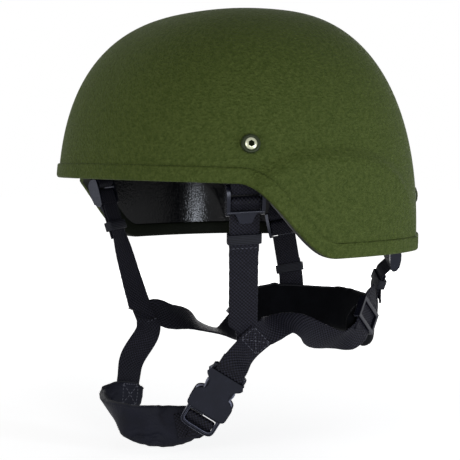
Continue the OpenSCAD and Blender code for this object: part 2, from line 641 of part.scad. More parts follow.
// Buckle: origin at the mouth of the socket, last axis up along the socket, middle one outwards
buckle_mouth = [47.9, -69, -151.8];
buckle_top = [62.8, -57.9, -122.3];
buckle_face = [0.79, -0.61, 0.07];
function buckle_frame() =
  let (z = unit(buckle_top - buckle_mouth), y = unit(buckle_face - (buckle_face * z) * z))
  [buckle_mouth, cross(y, z), y, z];
slot_half = strap_w / 2 + strap_gap;
buckle_half = slot_half + buckle_wall;
throat_half = slot_half - 0.2;
throat_h = 10.5;
cavity_half_t = socket_t / 2 - 1.5;
slot_low = socket_h - 6.2;
slot_high = socket_h - 2.8;
function both_sides(right) = concat(right, [for (i = [len(right) - 1:-1:0]) [-right[i].x, right[i].y]]);

module buckle_socket() {
  waist = slot_half - 1.7;
  outline = both_sides([
    [buckle_half - 1, 0], [buckle_half, 1.2], [buckle_half, throat_h - 1.5], [buckle_half - 1, throat_h],
    [waist + 1.2, 13], [waist + 0.2, 16], [waist, 19], [waist + 0.6, 22], [buckle_half - 2, 25],
    [buckle_half - 0.4, 27.5], [buckle_half - 0.2, socket_h - 4], [buckle_half - 0.8, socket_h - 1.5],
    [buckle_half - 2.6, socket_h]]);
  color(plastic_black) place(buckle_frame()) difference() {
    rotate([90, 0, 0]) linear_extrude(socket_t, center = true) polygon(outline);
    translate([-throat_half, -cavity_half_t, -1]) cube([2 * throat_half, 2 * cavity_half_t, 27]);
    translate([-slot_half, -socket_t, slot_low]) cube([2 * slot_half, 2 * socket_t, slot_high - slot_low]);
    for (side = [-1, 1])
      translate([-buckle_half - 1, side * (2.4 + 5) - 5, slot_low - 0.6]) cube([2 * buckle_half + 2, 10, 8]);
  }
}

module buckle_plug() {
  frame_half_t = 3;
  bar = 3.2;
  color(plastic_black) place(buckle_frame()) difference() {
    rotate([90, 0, 0]) linear_extrude(2 * frame_half_t, center = true) polygon(both_sides([
      [buckle_half - 0.6, -0.4], [buckle_half, -1.4], [buckle_half, -plug_h + 4],
      [buckle_half - 1, -plug_h + 1.4], [buckle_half - 3.4, -plug_h]]));
    translate([-slot_half, -frame_half_t - 1, -plug_h + bar])
      cube([2 * slot_half, 2 * frame_half_t + 2, plug_h - bar - 3.8]);
    for (side = [-1, 1])
      translate([-slot_half, side * (1.6 + 3) - 3, -plug_h - 1]) cube([2 * slot_half, 6, bar + 2]);
  }
}

module buckle_arm(side) {
  out = throat_half - buckle_gap - 0.1;
  color(plastic_black) place(buckle_frame()) rotate([90, 0, 0])
    linear_extrude(2 * (cavity_half_t - buckle_gap), center = true)
      polygon([for (p = [[out - 2.7, 0.3], [out, 0.3], [out, throat_h + 1.7], [out + 1.3, 18],
        [out + 1.3, arm_h - 1.8], [out - 0.3, arm_h], [out - 2.9, arm_h - 0.6], [out - 3.4, 16],
        [out - 2.9, 8]])
        [p.x * side, p.y]]);
}

// Webbing folded round the lowest bar of the plug; it moves with the plug
module plug_wrap() {
  fr = buckle_frame();
  r = 1.6 + 0.3 + strap_t / 2;
  low = -plug_h + 1.6;
  path = [in_frame(fr, [0, r + 0.2, -plug_h + 9]), in_frame(fr, [0, r, low + 1]),
    in_frame(fr, [0, r * 0.87, low - r * 0.87]), in_frame(fr, [0, 0, low - r - 0.4]),
    in_frame(fr, [0, -r * 0.87, low - r * 0.87]), in_frame(fr, [0, -r, low + 1]),
    in_frame(fr, [0, -r - 0.2, -plug_h + 8])];
  facing = [fr[2], fr[2], dir_in_frame(fr, [0, 0.7, -0.7]), -fr[3], dir_in_frame(fr, [0, -0.7, -0.7]),
    -fr[2], -fr[2]];
  color(webbing_black) webbing(path, facing, steps = 3);
}

// Webbing loop between the cheek joint and the socket
module buckle_strap() {
  fr = buckle_frame();
  bar_y = 2.4 + 0.5 + strap_t / 2;
  mid = (slot_low + slot_high) / 2;
  high = (slot_high + socket_h) / 2;
  path = [on_cheek(1, 13, -2, layer), on_cheek(1, 7, 3, layer), on_cheek(1, 1.5, 8, layer + 1.1),
    in_frame(fr, [0, bar_y, socket_h + 4]),
    in_frame(fr, [0, bar_y, high]),
    in_frame(fr, [0, bar_y * 0.82, mid]), in_frame(fr, [0, 0, mid - 0.3]),
    in_frame(fr, [0, -bar_y * 0.82, mid]), in_frame(fr, [0, -bar_y, high]),
    in_frame(fr, [0, -bar_y + 0.6, socket_h + 6])];
  facing = [cheek_out(1), cheek_out(1), cheek_out(1), fr[2], fr[2], dir_in_frame(fr, [0, 0.7, -0.7]), -fr[3],
    dir_in_frame(fr, [0, -0.7, -0.7]), -fr[2], -fr[2]];
  color(webbing_black) webbing(path, facing, steps = 4);
}

// Chin cup: a wide soft band round the chin, from the right cheek strap to the plug
cup_path = [[-50, -57, -161], [-51, -72, -157.5], [-49, -88, -157], [-42, -94, -157.5], [-29, -102, -157],
  [-12, -108, -158], [5, -109, -161], [14.4, -96.3, -164.8], [20.1, -81.4, -167], [28.2, -69.8, -164.7],
  [33, -60, -161]];
cup_facing = [[-1, -0.1, 0], [-1, -0.2, 0], [-0.9, -0.45, -0.3], [-0.65, -0.6, -0.5], [-0.3, -0.75, -0.6],
  [0.1, -0.85, -0.5], [0.5, -0.85, -0.15], [0.75, -0.65, 0], [0.9, -0.4, 0], [0.95, -0.3, 0],
  [0.97, -0.2, 0]];
module chin_cup() {
  h = cup_h;
  color(pad_black) soft_band(cup_path, cup_facing, [h * 0.5, h * 0.66, h * 0.6, h * 0.58, h * 0.58, h * 0.65,
    h * 0.8, h * 0.94, h, h * 0.85, h * 0.5], cup_t, steps = 3);
}

// Webbing from the plug's fold to the outside of the chin cup
cup_lift = cup_t / 2 + seat + strap_t / 2;
module chin_strap() {
  fr = buckle_frame();
  path = [in_frame(fr, [0, -5, -plug_h + 5]), in_frame(fr, [0, -5.3, -plug_h - 2]),
    curve(cup_path, 8.9) + unit(curve(cup_facing, 8.9)) * (cup_lift + 0.4),
    curve(cup_path, 8.3) + unit(curve(cup_facing, 8.3)) * (cup_lift + 0.2)];
  facing = [fr[2], fr[2], curve(cup_facing, 8.9), curve(cup_facing, 8.3)];
  color(webbing_black) webbing(path, facing, width = strap_w - 2, steps = 5);
}

// Webbing from the right cheek joint to the outside of the cup's far end
module right_chin_strap() {
  side_out = let (n = cheek_out(-1)) [-n.x, n.y, n.z];
  start = on_cheek(-1, 3, 3, -layer);
  knee = on_cheek(-1, -2, 13, -layer - 0.5);
  land = frame_on(cup_path, cup_facing, 0.8);
  end = land[0] + land[2] * (cup_lift + 0.6);
  path = [[-start.x, start.y, start.z], [-knee.x, knee.y, knee.z], [-57, -62, -132], end + [-0.3, 2, 12],
    end - [0, 1, 5]];
  facing = [side_out, side_out, side_out, land[2], land[2]];
  color(webbing_black) webbing(path, facing, steps = 5);
}

module mirrored() {
  mirror([1, 0, 0]) children();
}

shell();
edge_trim();
bolt_washers();
strap_bolts();
bolt_nuts();
anchor_eyelets();
hook_discs();
pad_at(0);  // crown_pad
pad_at(1);  // front_pad
pad_at(2);  // rear_pad
pad_at(3);  // left_front_pad
pad_at(3, -1);  // right_front_pad
pad_at(4);  // left_rear_pad
pad_at(4, -1);  // right_rear_pad
anchor(front_bolt_angle, front_bolt_z, front_frame());  // front_left_anchor
mirrored() anchor(front_bolt_angle, front_bolt_z, front_frame());  // front_right_anchor
anchor(rear_bolt_angle, rear_bolt_z, rear_frame(rear_z(1), rear_lean(1)));  // rear_left_anchor
mirrored() anchor(rear_bolt_angle, rear_bolt_z, rear_frame(rear_z(-1), rear_lean(-1)));  // rear_right_anchor
adjuster(front_frame());  // front_left_adjuster
mirrored() adjuster(front_frame());  // front_right_adjuster
adjuster(rear_frame(rear_z(1), rear_lean(1)));  // rear_left_adjuster
mirrored() adjuster(rear_frame(rear_z(-1), rear_lean(-1)));  // rear_right_adjuster
wrap(front_frame());  // front_left_wrap
mirrored() wrap(front_frame());  // front_right_wrap
wrap(rear_frame(rear_z(1), rear_lean(1)));  // rear_left_wrap
mirrored() wrap(rear_frame(rear_z(-1), rear_lean(-1)));  // rear_right_wrap
front_strap(1);  // front_left_strap
mirrored() front_strap(-1);  // front_right_strap
rear_strap(1);  // rear_left_strap
mirrored() rear_strap(-1);  // rear_right_strap
keeper(front_keeper_frame());  // front_left_keeper
mirrored() keeper(front_keeper_frame());  // front_right_keeper
keeper(rear_keeper_frame(1));  // rear_left_keeper
mirrored() keeper(rear_keeper_frame(-1));  // rear_right_keeper
nape_pad();
nape_strap(1);  // nape_left_strap
mirrored() nape_strap(-1);  // nape_right_strap
nape_slider(1);  // nape_left_slider
mirrored() nape_slider(-1);  // nape_right_slider
right_chin_strap();
buckle_strap();
chin_strap();
chin_cup();
buckle_socket();
buckle_plug();
buckle_arm(1);  // buckle_front_arm
buckle_arm(-1);  // buckle_rear_arm
plug_wrap();
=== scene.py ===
import math

import bmesh
import bpy
from mathutils import Matrix, Vector
from mathutils.bvhtree import BVHTree
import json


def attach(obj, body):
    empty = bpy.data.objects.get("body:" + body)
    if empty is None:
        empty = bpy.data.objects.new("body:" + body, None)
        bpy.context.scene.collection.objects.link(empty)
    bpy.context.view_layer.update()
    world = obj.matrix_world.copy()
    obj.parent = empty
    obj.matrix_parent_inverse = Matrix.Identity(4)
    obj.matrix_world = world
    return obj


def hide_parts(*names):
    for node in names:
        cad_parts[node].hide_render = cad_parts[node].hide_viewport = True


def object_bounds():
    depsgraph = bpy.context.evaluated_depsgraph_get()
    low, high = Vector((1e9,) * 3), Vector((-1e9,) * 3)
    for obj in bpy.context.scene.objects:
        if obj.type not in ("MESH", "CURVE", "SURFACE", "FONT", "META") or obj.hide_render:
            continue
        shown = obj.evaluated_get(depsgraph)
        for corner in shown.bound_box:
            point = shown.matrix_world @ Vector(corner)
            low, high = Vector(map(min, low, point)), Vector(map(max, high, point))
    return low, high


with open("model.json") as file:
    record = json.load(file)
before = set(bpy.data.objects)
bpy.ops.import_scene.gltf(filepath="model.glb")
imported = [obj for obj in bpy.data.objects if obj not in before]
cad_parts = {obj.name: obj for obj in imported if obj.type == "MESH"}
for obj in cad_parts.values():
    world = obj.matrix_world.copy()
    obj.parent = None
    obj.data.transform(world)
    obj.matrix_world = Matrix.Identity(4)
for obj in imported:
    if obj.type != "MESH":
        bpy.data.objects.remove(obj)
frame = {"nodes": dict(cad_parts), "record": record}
cad_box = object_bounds()
body_with = {node: body for body, nodes in frame["record"]["behaviour"]["bodies"].items() for node in nodes}

# The camera stands a little above the brow, to the front left of the wearer. Its angles, its lens
# and the point it looks at are fitted to the photograph. Sizes in every section are millimetres.
azimuth, elevation, distance = math.radians(52.422), math.radians(4.04), 850
back = Vector((
    math.sin(azimuth) * math.cos(elevation), -math.cos(azimuth) * math.cos(elevation), math.sin(elevation)))
right = Vector((math.cos(azimuth), math.sin(azimuth), 0))
up = back.cross(right)
looked_at = right * -9.329 + up * -19.969 + Vector((0, 0, -13.5))
camera = bpy.data.objects.new("camera", bpy.data.cameras.new("camera"))
camera.data.sensor_width = 36
camera.data.lens = 88.62
camera.data.clip_start, camera.data.clip_end = 0.05, 20
view_turn = Matrix((right, up, back)).transposed().to_4x4()
camera.matrix_world = Matrix.Translation((looked_at + back * distance) * 0.001) @ view_turn
bpy.context.scene.collection.objects.link(camera)
bpy.context.scene.camera = camera

# The shell. Layers of aramid cloth and resin pressed into one bowl with a swell over each ear,
# sprayed outside with a textured olive paint and left glossy black resin inside.
front_reach, rear_reach, half_width = 137.6, 128.4, 121.4
crown, skirt, shell_t = 128.5, -33.4, 8
trim_h, trim_mid, trim_floor, trim_gap = 10.5, 6.3, 2.2, 0.25
shell_columns, dome_rows, skirt_rows = 288, 72, 5
# How full the outline is from above, and the profile at the sides, the front and the rear
plan_power, side_power, front_power, rear_power = 2.22, 3.05, 2.65, 1.7
# The ear swell: its middle and its reach to the front and rear in degrees, its foot, height and depth
ear_turn, ear_front, ear_rear, ear_z, ear_h, ear_out = 86, 33, 36, -45, 71, 4.5
# The rim: its level at the brow, where the brow ends and how many degrees it takes to fall to the ear
brow_z, brow_end, ear_fall = 7, 55, 29


def clamp(t):
    return min(max(t, 0), 1)


def ease(t):
    return clamp(t) ** 2 * (3 - 2 * clamp(t))


def signed_power(value, power):
    return math.copysign(abs(value) ** power, value)


def sin(a):
    return math.sin(math.radians(a))


def cos(a):
    return math.cos(math.radians(a))


def shell_reach(phi):
    return front_reach if cos(phi) > 0 else rear_reach


def profile_power(phi):
    return side_power + ((front_power if cos(phi) > 0 else rear_power) - side_power) * cos(phi) ** 2


def plan(phi, inset):
    """The shell's outline from above at that angle from the front."""
    return Vector((
        (half_width - inset) * signed_power(sin(phi), 2 / plan_power),
        -(shell_reach(phi) - inset) * signed_power(cos(phi), 2 / plan_power), 0))


def swell(phi, z):
    """How far the swell over the ear stands out there."""
    turn = (360 - phi if phi > 180 else phi) - ear_turn
    across = abs(turn) / (ear_front if turn < 0 else ear_rear)
    power = 2.6 if turn < 0 else 2
    rise = max(0, (z - ear_z) / ear_h)
    return ear_out * ease((1.045 - (across ** power + rise ** power) ** (1 / power)) / 0.12)


def swollen(phi, point):
    away = Vector((point.x / half_width ** 2, point.y / shell_reach(phi) ** 2, 0))
    return point + away.normalized() * swell(phi, point.z)


def wall(phi, z, inset):
    """A point of the shell's wall at that height, moved in by inset."""
    share = clamp((z - skirt) / (crown - skirt - inset))
    power = profile_power(phi)
    point = plan(phi, inset) * (1 - share ** power) ** (1 / power)
    return swollen(phi, Vector((point.x, point.y, z)))


def dome(phi, theta, inset):
    """A point of the dome at that angle from the crown."""
    power = profile_power(phi)
    point = plan(phi, inset) * sin(theta) ** (2 / power)
    z = skirt + (crown - skirt - inset) * max(cos(theta), 0) ** (2 / power)
    return swollen(phi, Vector((point.x, point.y, z)))


def rim_z(phi):
    turn = 360 - phi if phi > 180 else phi
    brow = brow_z - 2 * (min(turn, brow_end) / brow_end) ** 2
    return brow + (ear_z - brow) * ease((turn - brow_end) / ear_fall)


def above_rim(phi, height):
    slope = (rim_z(phi + 1) - rim_z(phi - 1)) / (2 * half_width * math.pi / 180)
    return rim_z(phi) + height * math.sqrt(1 + slope ** 2)


def rim_row(height, inset):
    return [
        wall(phi, above_rim(phi, height) if height > 4 else rim_z(phi) + height, inset)
        for phi in (360 * i / shell_columns for i in range(shell_columns))]


def shell_row(share, inset):
    """A row of the dome, from the crown at share 0 to its foot at share 1."""
    row = []
    for i in range(shell_columns):
        phi = 360 * i / shell_columns
        foot = max(above_rim(phi, trim_h + 3), skirt)
        level = clamp((foot - skirt) / (crown - skirt - inset))
        end = math.degrees(math.acos(level ** (profile_power(phi) / 2)))
        row.append(dome(phi, 0.8 + (end - 0.8) * share, inset))
    return row


def skirt_row(share, inset):
    """A row between the foot of the dome and the top of the edge band."""
    row = []
    for i in range(shell_columns):
        phi = 360 * i / shell_columns
        foot, top = max(above_rim(phi, trim_h + 3), skirt), above_rim(phi, trim_h)
        row.append(wall(phi, foot + (top - foot) * share, inset))
    return row


def loft(rings, caps=True, joined=False):
    """Points and faces of a skin over rings, closed by end caps or by joining the last ring to the first."""
    n, m = len(rings), len(rings[0])
    points = [p for ring in rings for p in ring]
    faces = [
        (i * m + j, i * m + (j + 1) % m, (i + 1) % n * m + (j + 1) % m, (i + 1) % n * m + j)
        for i in range(n if joined else n - 1) for j in range(m)]
    if caps:
        for ring, first in ((rings[0], 0), (rings[-1], (n - 1) * m)):
            middle = sum(ring, Vector()) / m
            faces += [(len(points), first + j, first + (j + 1) % m) for j in range(m)]
            points.append(middle)
    return points, faces


def make(name, points, faces, *materials, angle=50, marks=None, weave=None):
    """A mesh object from points in millimetres. marks gives each face its material,
    and weave gives each point its place on the cloth."""
    mesh = bpy.data.meshes.new(name)
    mesh.from_pydata([Vector(p) * 0.001 for p in points], [], faces)
    for material in materials:
        mesh.materials.append(material)
    if marks:
        mesh.polygons.foreach_set("material_index", marks)
    if weave:
        layer = mesh.uv_layers.new(name="Weave")
        for loop in mesh.loops:
            layer.data[loop.index].uv = weave[loop.vertex_index]
    work = bmesh.new()
    work.from_mesh(mesh)
    bmesh.ops.recalc_face_normals(work, faces=work.faces)
    work.to_mesh(mesh)
    work.free()
    mesh.polygons.foreach_set("use_smooth", [True] * len(mesh.polygons))
    mesh.set_sharp_from_angle(angle=math.radians(angle))
    piece = bpy.data.objects.new(name, mesh)
    bpy.context.scene.collection.objects.link(piece)
    return piece


def linear(code):
    """An sRGB hex colour as the linear colour that a shader takes."""
    shares = [int(code[i:i + 2], 16) / 255 for i in (1, 3, 5)]
    return [s / 12.92 if s <= 0.04045 else ((s + 0.055) / 1.055) ** 2.4 for s in shares] + [1]


def add(tree, kind, links=None, out=0, **settings):
    """Adds a node and gives back its output out. settings are the node's own,
    and links gives each socket its value or the output that feeds it."""
    node = tree.nodes.new("ShaderNode" + kind)
    for key, value in settings.items():
        setattr(node, key, value)
    for socket, value in (links or {}).items():
        if isinstance(value, bpy.types.NodeSocket):
            tree.links.new(value, node.inputs[socket])
        else:
            node.inputs[socket].default_value = value
    return node.outputs[out] if node.outputs else None


def new_material(name):
    material = bpy.data.materials.new(name)
    material.use_nodes = True
    material.node_tree.nodes.clear()
    return material, material.node_tree


def finish_material(tree, tone, relief, strength, depth, looks):
    """Ends a material with bumps of that strength and depth, its shader's looks and the output."""
    bump = add(tree, "Bump", {"Height": relief, "Strength": strength, "Distance": depth})
    shader = add(tree, "BsdfPrincipled", {"Base Color": tone, "Normal": bump, **looks})
    add(tree, "OutputMaterial", {"Surface": shader})


# Sprayed polyurethane paint with fine grit: a matt orange-peel surface that scatters its highlights.
# Its grit is about half a millimetre, drawn at 1.6 mm so that it shows.
textured_paint, tree = new_material("textured_paint")
spot = add(tree, "TexCoord", out="Object")
peel = add(tree, "TexNoise", {"Vector": spot, "Scale": 1 / 0.0026, "Detail": 3.0, "Roughness": 0.65})
grit = add(tree, "TexVoronoi", {"Vector": spot, "Scale": 1 / 0.0016})
cloud = add(tree, "TexNoise", {"Vector": spot, "Scale": 1 / 0.06, "Detail": 2.0})
relief = add(tree, "Math", {0: peel, 1: grit}, operation="ADD")
peel_share = add(tree, "MapRange", {"Value": peel, "From Min": 0.35, "From Max": 0.65})
tone = add(tree, "Mix", {0: cloud, 6: linear("#344016"), 7: linear("#39451a")}, out=2, data_type="RGBA")
tone = add(tree, "Mix", {0: peel_share, 6: tone, 7: linear("#485326")}, out=2, data_type="RGBA")
finish_material(tree, tone, relief, 0.8, 0.0009, {"Roughness": 0.7, "IOR": 1.5, "Specular IOR Level": 0.1})

# Phenolic resin over aramid cloth, cured against a polished tool: deep black with a wet shine.
# Pinholes 1.3 mm apart break the shine into specks, and the wall leans out by 6 degrees towards the rim.
black_resin, tree = new_material("black_resin")
spot = add(tree, "TexCoord", out="Object")
pinholes = add(tree, "TexNoise", {"Vector": spot, "Scale": 1 / 0.0013, "Detail": 1.0})
cloud = add(tree, "TexNoise", {"Vector": spot, "Scale": 1 / 0.03, "Detail": 3.0})
tone = add(tree, "Mix", {0: cloud, 6: linear("#07080a"), 7: linear("#0e0f12")}, out=2, data_type="RGBA")
level = add(tree, "SeparateXYZ", {0: spot}, out="Z")
steeper = add(tree, "Math", {0: level, 1: 0.5, 2: 0.09}, operation="MULTIPLY_ADD")
lean = add(tree, "Math", {0: level, 1: steeper}, operation="MULTIPLY")
relief = add(tree, "Math", {0: pinholes, 1: 0.00009, 2: lean}, operation="MULTIPLY_ADD")
finish_material(tree, tone, relief, 1.0, 1.0, {"Roughness": 0.06, "IOR": 1.55, "Specular IOR Level": 0.09})

rim_heights = (8.4, trim_mid, 4.2, trim_floor + trim_gap)
outside = [shell_row(i / dome_rows, 0) for i in range(dome_rows + 1)]
outside += [skirt_row(i / skirt_rows, 0) for i in range(1, skirt_rows + 1)]
outside += [rim_row(h, 0) for h in rim_heights]
inside = [rim_row(h, shell_t) for h in reversed(rim_heights)]
inside += [skirt_row(i / skirt_rows, shell_t) for i in range(skirt_rows, 0, -1)]
inside += [shell_row(i / dome_rows, shell_t) for i in range(dome_rows, -1, -1)]
points, faces = loft(outside + inside)
marks = [0 if i // shell_columns < len(outside) - 1 else 1 for i in range(len(faces) - 2 * shell_columns)]
marks += [0] * shell_columns + [1] * shell_columns
shell = make("shell_bowl", points, faces, textured_paint, black_resin, marks=marks)
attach(shell, body_with["shell"])
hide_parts("shell")

# The edge band. A strip of moulded rubber folded over the rim and glued,
# painted with the shell outside and left bare and dark on its inner leg.
inner = shell_t + trim_gap
# Each point of the band's section is its depth from the outer face and its height over the rim
outer_leg = [
    (0.3, 10.5), (-0.7, 10.4), (-1.3, 10), (-1.5, 9.2), (-1.5, 6), (-1.5, 3), (-1.35, 1.8), (-0.8, 0.8),
    (0.2, 0.2), (2, 0)]
inner_leg = [
    (shell_t - 2, 0), (inner + 0.2, 0.2), (inner + 1.1, 1), (inner + 1.5, 2), (inner + 1.6, 3.2),
    (inner + 1.6, 6), (inner + 1.6, 9.2), (inner + 1.3, 10.1), (inner + 0.6, 10.5), (inner, 10.5),
    (inner, trim_mid), (inner, trim_floor), (-trim_gap, trim_floor), (-trim_gap, trim_mid), (-trim_gap, 10.5)]

# Bare nitrile rubber: soft black with a dull sheen and a fine moulded grain of 0.8 mm.
bare_rubber, tree = new_material("bare_rubber")
spot = add(tree, "TexCoord", out="Object")
grain = add(tree, "TexNoise", {"Vector": spot, "Scale": 1 / 0.0008, "Detail": 2.0})
wear = add(tree, "TexNoise", {"Vector": spot, "Scale": 1 / 0.02, "Detail": 3.0})
tone = add(tree, "Mix", {0: wear, 6: linear("#0b0d09"), 7: linear("#14170f")}, out=2, data_type="RGBA")
finish_material(tree, tone, grain, 0.3, 0.0002, {"Roughness": 0.5, "IOR": 1.52, "Specular IOR Level": 0.03})

points, faces = loft([rim_row(h, inset) for inset, h in outer_leg + inner_leg], caps=False, joined=True)
marks = [0 if i // shell_columns < len(outer_leg) - 1 else 1 for i in range(len(faces))]
marks[-shell_columns:] = [0] * shell_columns
edge_band = make("edge_band", points, faces, textured_paint, bare_rubber, angle=60, marks=marks)
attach(edge_band, body_with["edge_trim"])
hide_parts("edge_trim")

# The chin-strap screws. Turned steel cup washers painted with the shell, domed hex-socket screws,
# flanged nuts on the inside and eyelets that clamp the webbing under them.


def dress(node, material, radius, edge=None):
    """Gives a carried-over solid its material and softens its edges by radius.
    edge is the material of the softened edges, where it is another one: paler, partly wear and partly painted
    highlight."""
    piece = frame["nodes"][node]
    piece.data.materials.clear()
    piece.data.materials.append(material)
    piece.data.polygons.foreach_set("use_smooth", [True] * len(piece.data.polygons))
    weld = piece.modifiers.new("weld", "WELD")
    weld.merge_threshold = 0.00001
    bevel = piece.modifiers.new("bevel", "BEVEL")
    bevel.width = radius * 0.001
    bevel.segments = 2
    bevel.angle_limit = math.radians(35)
    bevel.use_clamp_overlap = True
    if edge:
        piece.data.materials.append(edge)
        bevel.material = 1
    piece.modifiers.new("normals", "WEIGHTED_NORMAL")


# Polyester enamel over turned steel: dark green, half gloss, with worn lighter patches.
green_enamel, tree = new_material("green_enamel")
spot = add(tree, "TexCoord", out="Object")
wear = add(tree, "TexNoise", {"Vector": spot, "Scale": 1 / 0.004, "Detail": 4.0})
tone = add(tree, "Mix", {0: wear, 6: linear("#18200b"), 7: linear("#2a3416")}, out=2, data_type="RGBA")
finish_material(tree, tone, wear, 0.15, 0.0002, {"Roughness": 0.35, "IOR": 1.5, "Specular IOR Level": 0.2})
dress("bolt_washers", green_enamel, 0.3)

# Zinc-plated steel: a warm pale metal with turning marks 0.3 mm apart and a slight haze.
zinc_steel, tree = new_material("zinc_steel")
spot = add(tree, "TexCoord", out="Object")
haze = add(tree, "TexNoise", {"Vector": spot, "Scale": 1 / 0.003, "Detail": 4.0})
turning = add(tree, "TexNoise", {"Vector": spot, "Scale": 1 / 0.0003, "Detail": 1.0})
tone = add(tree, "Mix", {0: haze, 6: linear("#9da087"), 7: linear("#c3c5ae")}, out=2, data_type="RGBA")
shine = add(tree, "MapRange", {"Value": haze, "To Min": 0.24, "To Max": 0.42})
finish_material(tree, tone, turning, 0.1, 0.0001, {"Metallic": 1.0, "Roughness": shine})

# Painted shade in the screws' sockets: flat black with specks 0.4 mm apart, darkening the recess where shade
# falls.
socket_painted_shade, tree = new_material("socket_painted_shade")
spot = add(tree, "TexCoord", out="Object")
specks = add(tree, "TexNoise", {"Vector": spot, "Scale": 1 / 0.0004, "Detail": 2.0})
tone = add(tree, "Mix", {0: specks, 6: linear("#0a0c06"), 7: linear("#1d2212")}, out=2, data_type="RGBA")
finish_material(tree, tone, specks, 0.4, 0.0001, {"Roughness": 0.9, "IOR": 1.5, "Specular IOR Level": 0.1})


def bolt_frame(phi, z):
    o, a, b = wall(phi, z, 0), wall(phi - 1, z, 0), wall(phi + 1, z, 0)
    out = (b - a).cross(wall(phi, z + 1, 0) - wall(phi, z - 1, 0)).normalized()
    x = Vector((0, 0, 1)).cross(out).normalized()
    return o, x, out.cross(x), out


def domed(r):
    """The height of a screw's domed head at that radius."""
    return head_h - dome_r + math.sqrt(dome_r ** 2 - r * r)


def together(skins):
    """Points and faces of several skins as one."""
    points, faces = [], []
    for more_points, more_faces in skins:
        faces += [tuple(i + len(points) for i in face) for face in more_faces]
        points += more_points
    return points, faces


# Where the screws sit: degrees from the front, and level
bolt_places = {"front": (58.7, 30.3), "rear": (144.5, -7)}
head_seat, head_h, dome_r, shank_end, screw_sides = 1.45, 2.6, 6.4, -18, 36
# Each row of a screw, from its socket to the end of its shank: radius, height and whether it is hexagonal
screw_rows = (
    (1.7, head_h - 1.6, 1), (1.8, head_h - 0.35, 1), (2, domed(2), 1), (2.5, domed(2.5), 0), (3, domed(3), 0),
    (3.5, domed(3.5), 0), (3.85, domed(3.85), 0), (4, domed(4) - 0.2, 0), (4, 0.2, 0), (3.8, 0, 0), (3, 0, 0),
    (3, shank_end - head_seat + 0.4, 0), (2.6, shank_end - head_seat, 0))
screws = []
for place in bolt_places.values():
    o, across, rise, out = bolt_frame(*place)
    for side in (1, -1):
        rings = []
        for r, height, hexed in screw_rows:
            ring = []
            for q in range(0, 360, 360 // screw_sides):
                reach = r * cos(30) / cos((q + 30) % 60 - 30) * 1.08 if hexed else r
                p = o + across * reach * cos(q) + rise * reach * sin(q) + out * (head_seat + height)
                ring.append(Vector((p.x * side, p.y, p.z)))
            rings.append(ring)
        screws.append(loft(rings))
# The painted shade lies on the first two rows and on the first cap, which are the socket's wall and floor
unshaded_rows = len(screw_rows) - 3
marks = [1] * 2 * screw_sides + [0] * unshaded_rows * screw_sides + [1] * screw_sides + [0] * screw_sides
marks *= len(screws)
bolts = make("chin_strap_screws", *together(screws), zinc_steel, socket_painted_shade, angle=30, marks=marks)
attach(bolts, body_with["strap_bolts"])
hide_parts("strap_bolts")
dress("bolt_nuts", zinc_steel, 0.25)
dress("anchor_eyelets", zinc_steel, 0.2)

# The seven pads. Slow-recovery foam in a sewn cover of wicking knit, with a corded seam round its middle,
# held on discs of hook tape that are glued to the resin.
pad_t, disc_seat, disc_t = 19, shell_t + 0.5, 1
pad_seat = disc_seat + disc_t + 0.15
# Each pad: degrees from the front and above the level, half its width and height,
# the power of its outline, its taper and its side
pad_places = {
    "crown_pad": (0, 90, 50, 50, 2, 0, 1),
    "front_pad": (0, 40, 50, 28, 3, 0.1, 1),
    "rear_pad": (180, 36, 50, 28, 3, 0.1, 1),
    "left_front_pad": (57, 50, 27, 34.04, 3, 0.12, 1),
    "right_front_pad": (57, 50, 27, 34.04, 3, 0.12, -1),
    "left_rear_pad": (112, 43, 27, 35.15, 3, 0.12, 1),
    "right_rear_pad": (112, 43, 27, 35.15, 3, 0.12, -1),
}
# Each row of a pad is its share of the outline and its share of the thickness
pad_rows = [
    (0.45, 0), (0.75, 0), (0.9, 0), (0.98, 0.1), (1, 0.28), (1, 0.45), (0.99, 0.62), (0.97, 0.75),
    (0.93, 0.86), (0.88, 0.93), (0.75, 0.97), (0.6, 1), (0.42, 1.01), (0.25, 1.02)]


def dome_hit(ray, inset):
    """Where a ray from the middle of the dome meets the wall, moved in by inset."""
    a = (abs(ray.x) / (half_width - inset)) ** plan_power
    b = (abs(ray.y) / ((front_reach if ray.y < 0 else rear_reach) - inset)) ** plan_power
    reach = (a + b) ** (1 / plan_power)
    power = side_power + ((front_power if ray.y < 0 else rear_power) - side_power) * b / max(a + b, 1e-9)
    rise = max(ray.z, 0) / (crown - skirt - inset)
    t = (reach ** power + rise ** power) ** (-1 / power)
    p = Vector((ray.x * t, ray.y * t, skirt + ray.z * t))
    phi = math.degrees(math.atan2(math.sqrt(a), (1 if ray.y < 0 else -1) * math.sqrt(b)))
    flat = Vector((p.x, p.y, 0))
    return p + (flat.normalized() * swell(phi, p.z) if flat.length > 1 else Vector())


def pad_ring(place, share, inset, count, pull=0.03):
    """A ring round the middle of a pad at that depth inside the shell."""
    phi, rise, half_w, half_h, power, taper, side = place
    middle = Vector((sin(phi) * cos(rise), -cos(phi) * cos(rise), sin(rise)))
    across = Vector((-sin(phi) * sin(rise), cos(phi) * sin(rise), cos(rise))).cross(middle).normalized()
    along = middle.cross(across)
    far = (dome_hit(middle, inset) - Vector((0, 0, skirt))).length
    ring = []
    for j in range(count):
        q = 360 * j / count
        c, s = signed_power(cos(q), 2 / power), signed_power(sin(q), 2 / power)
        draw = share * (1 - pull * cos(2 * q) ** 2)
        ray = middle * far + across * (half_w * c * (1 - taper * s) * draw) + along * (half_h * s * draw)
        p = dome_hit(ray, inset)
        ring.append(Vector((p.x * side, p.y, p.z)))
    return ring


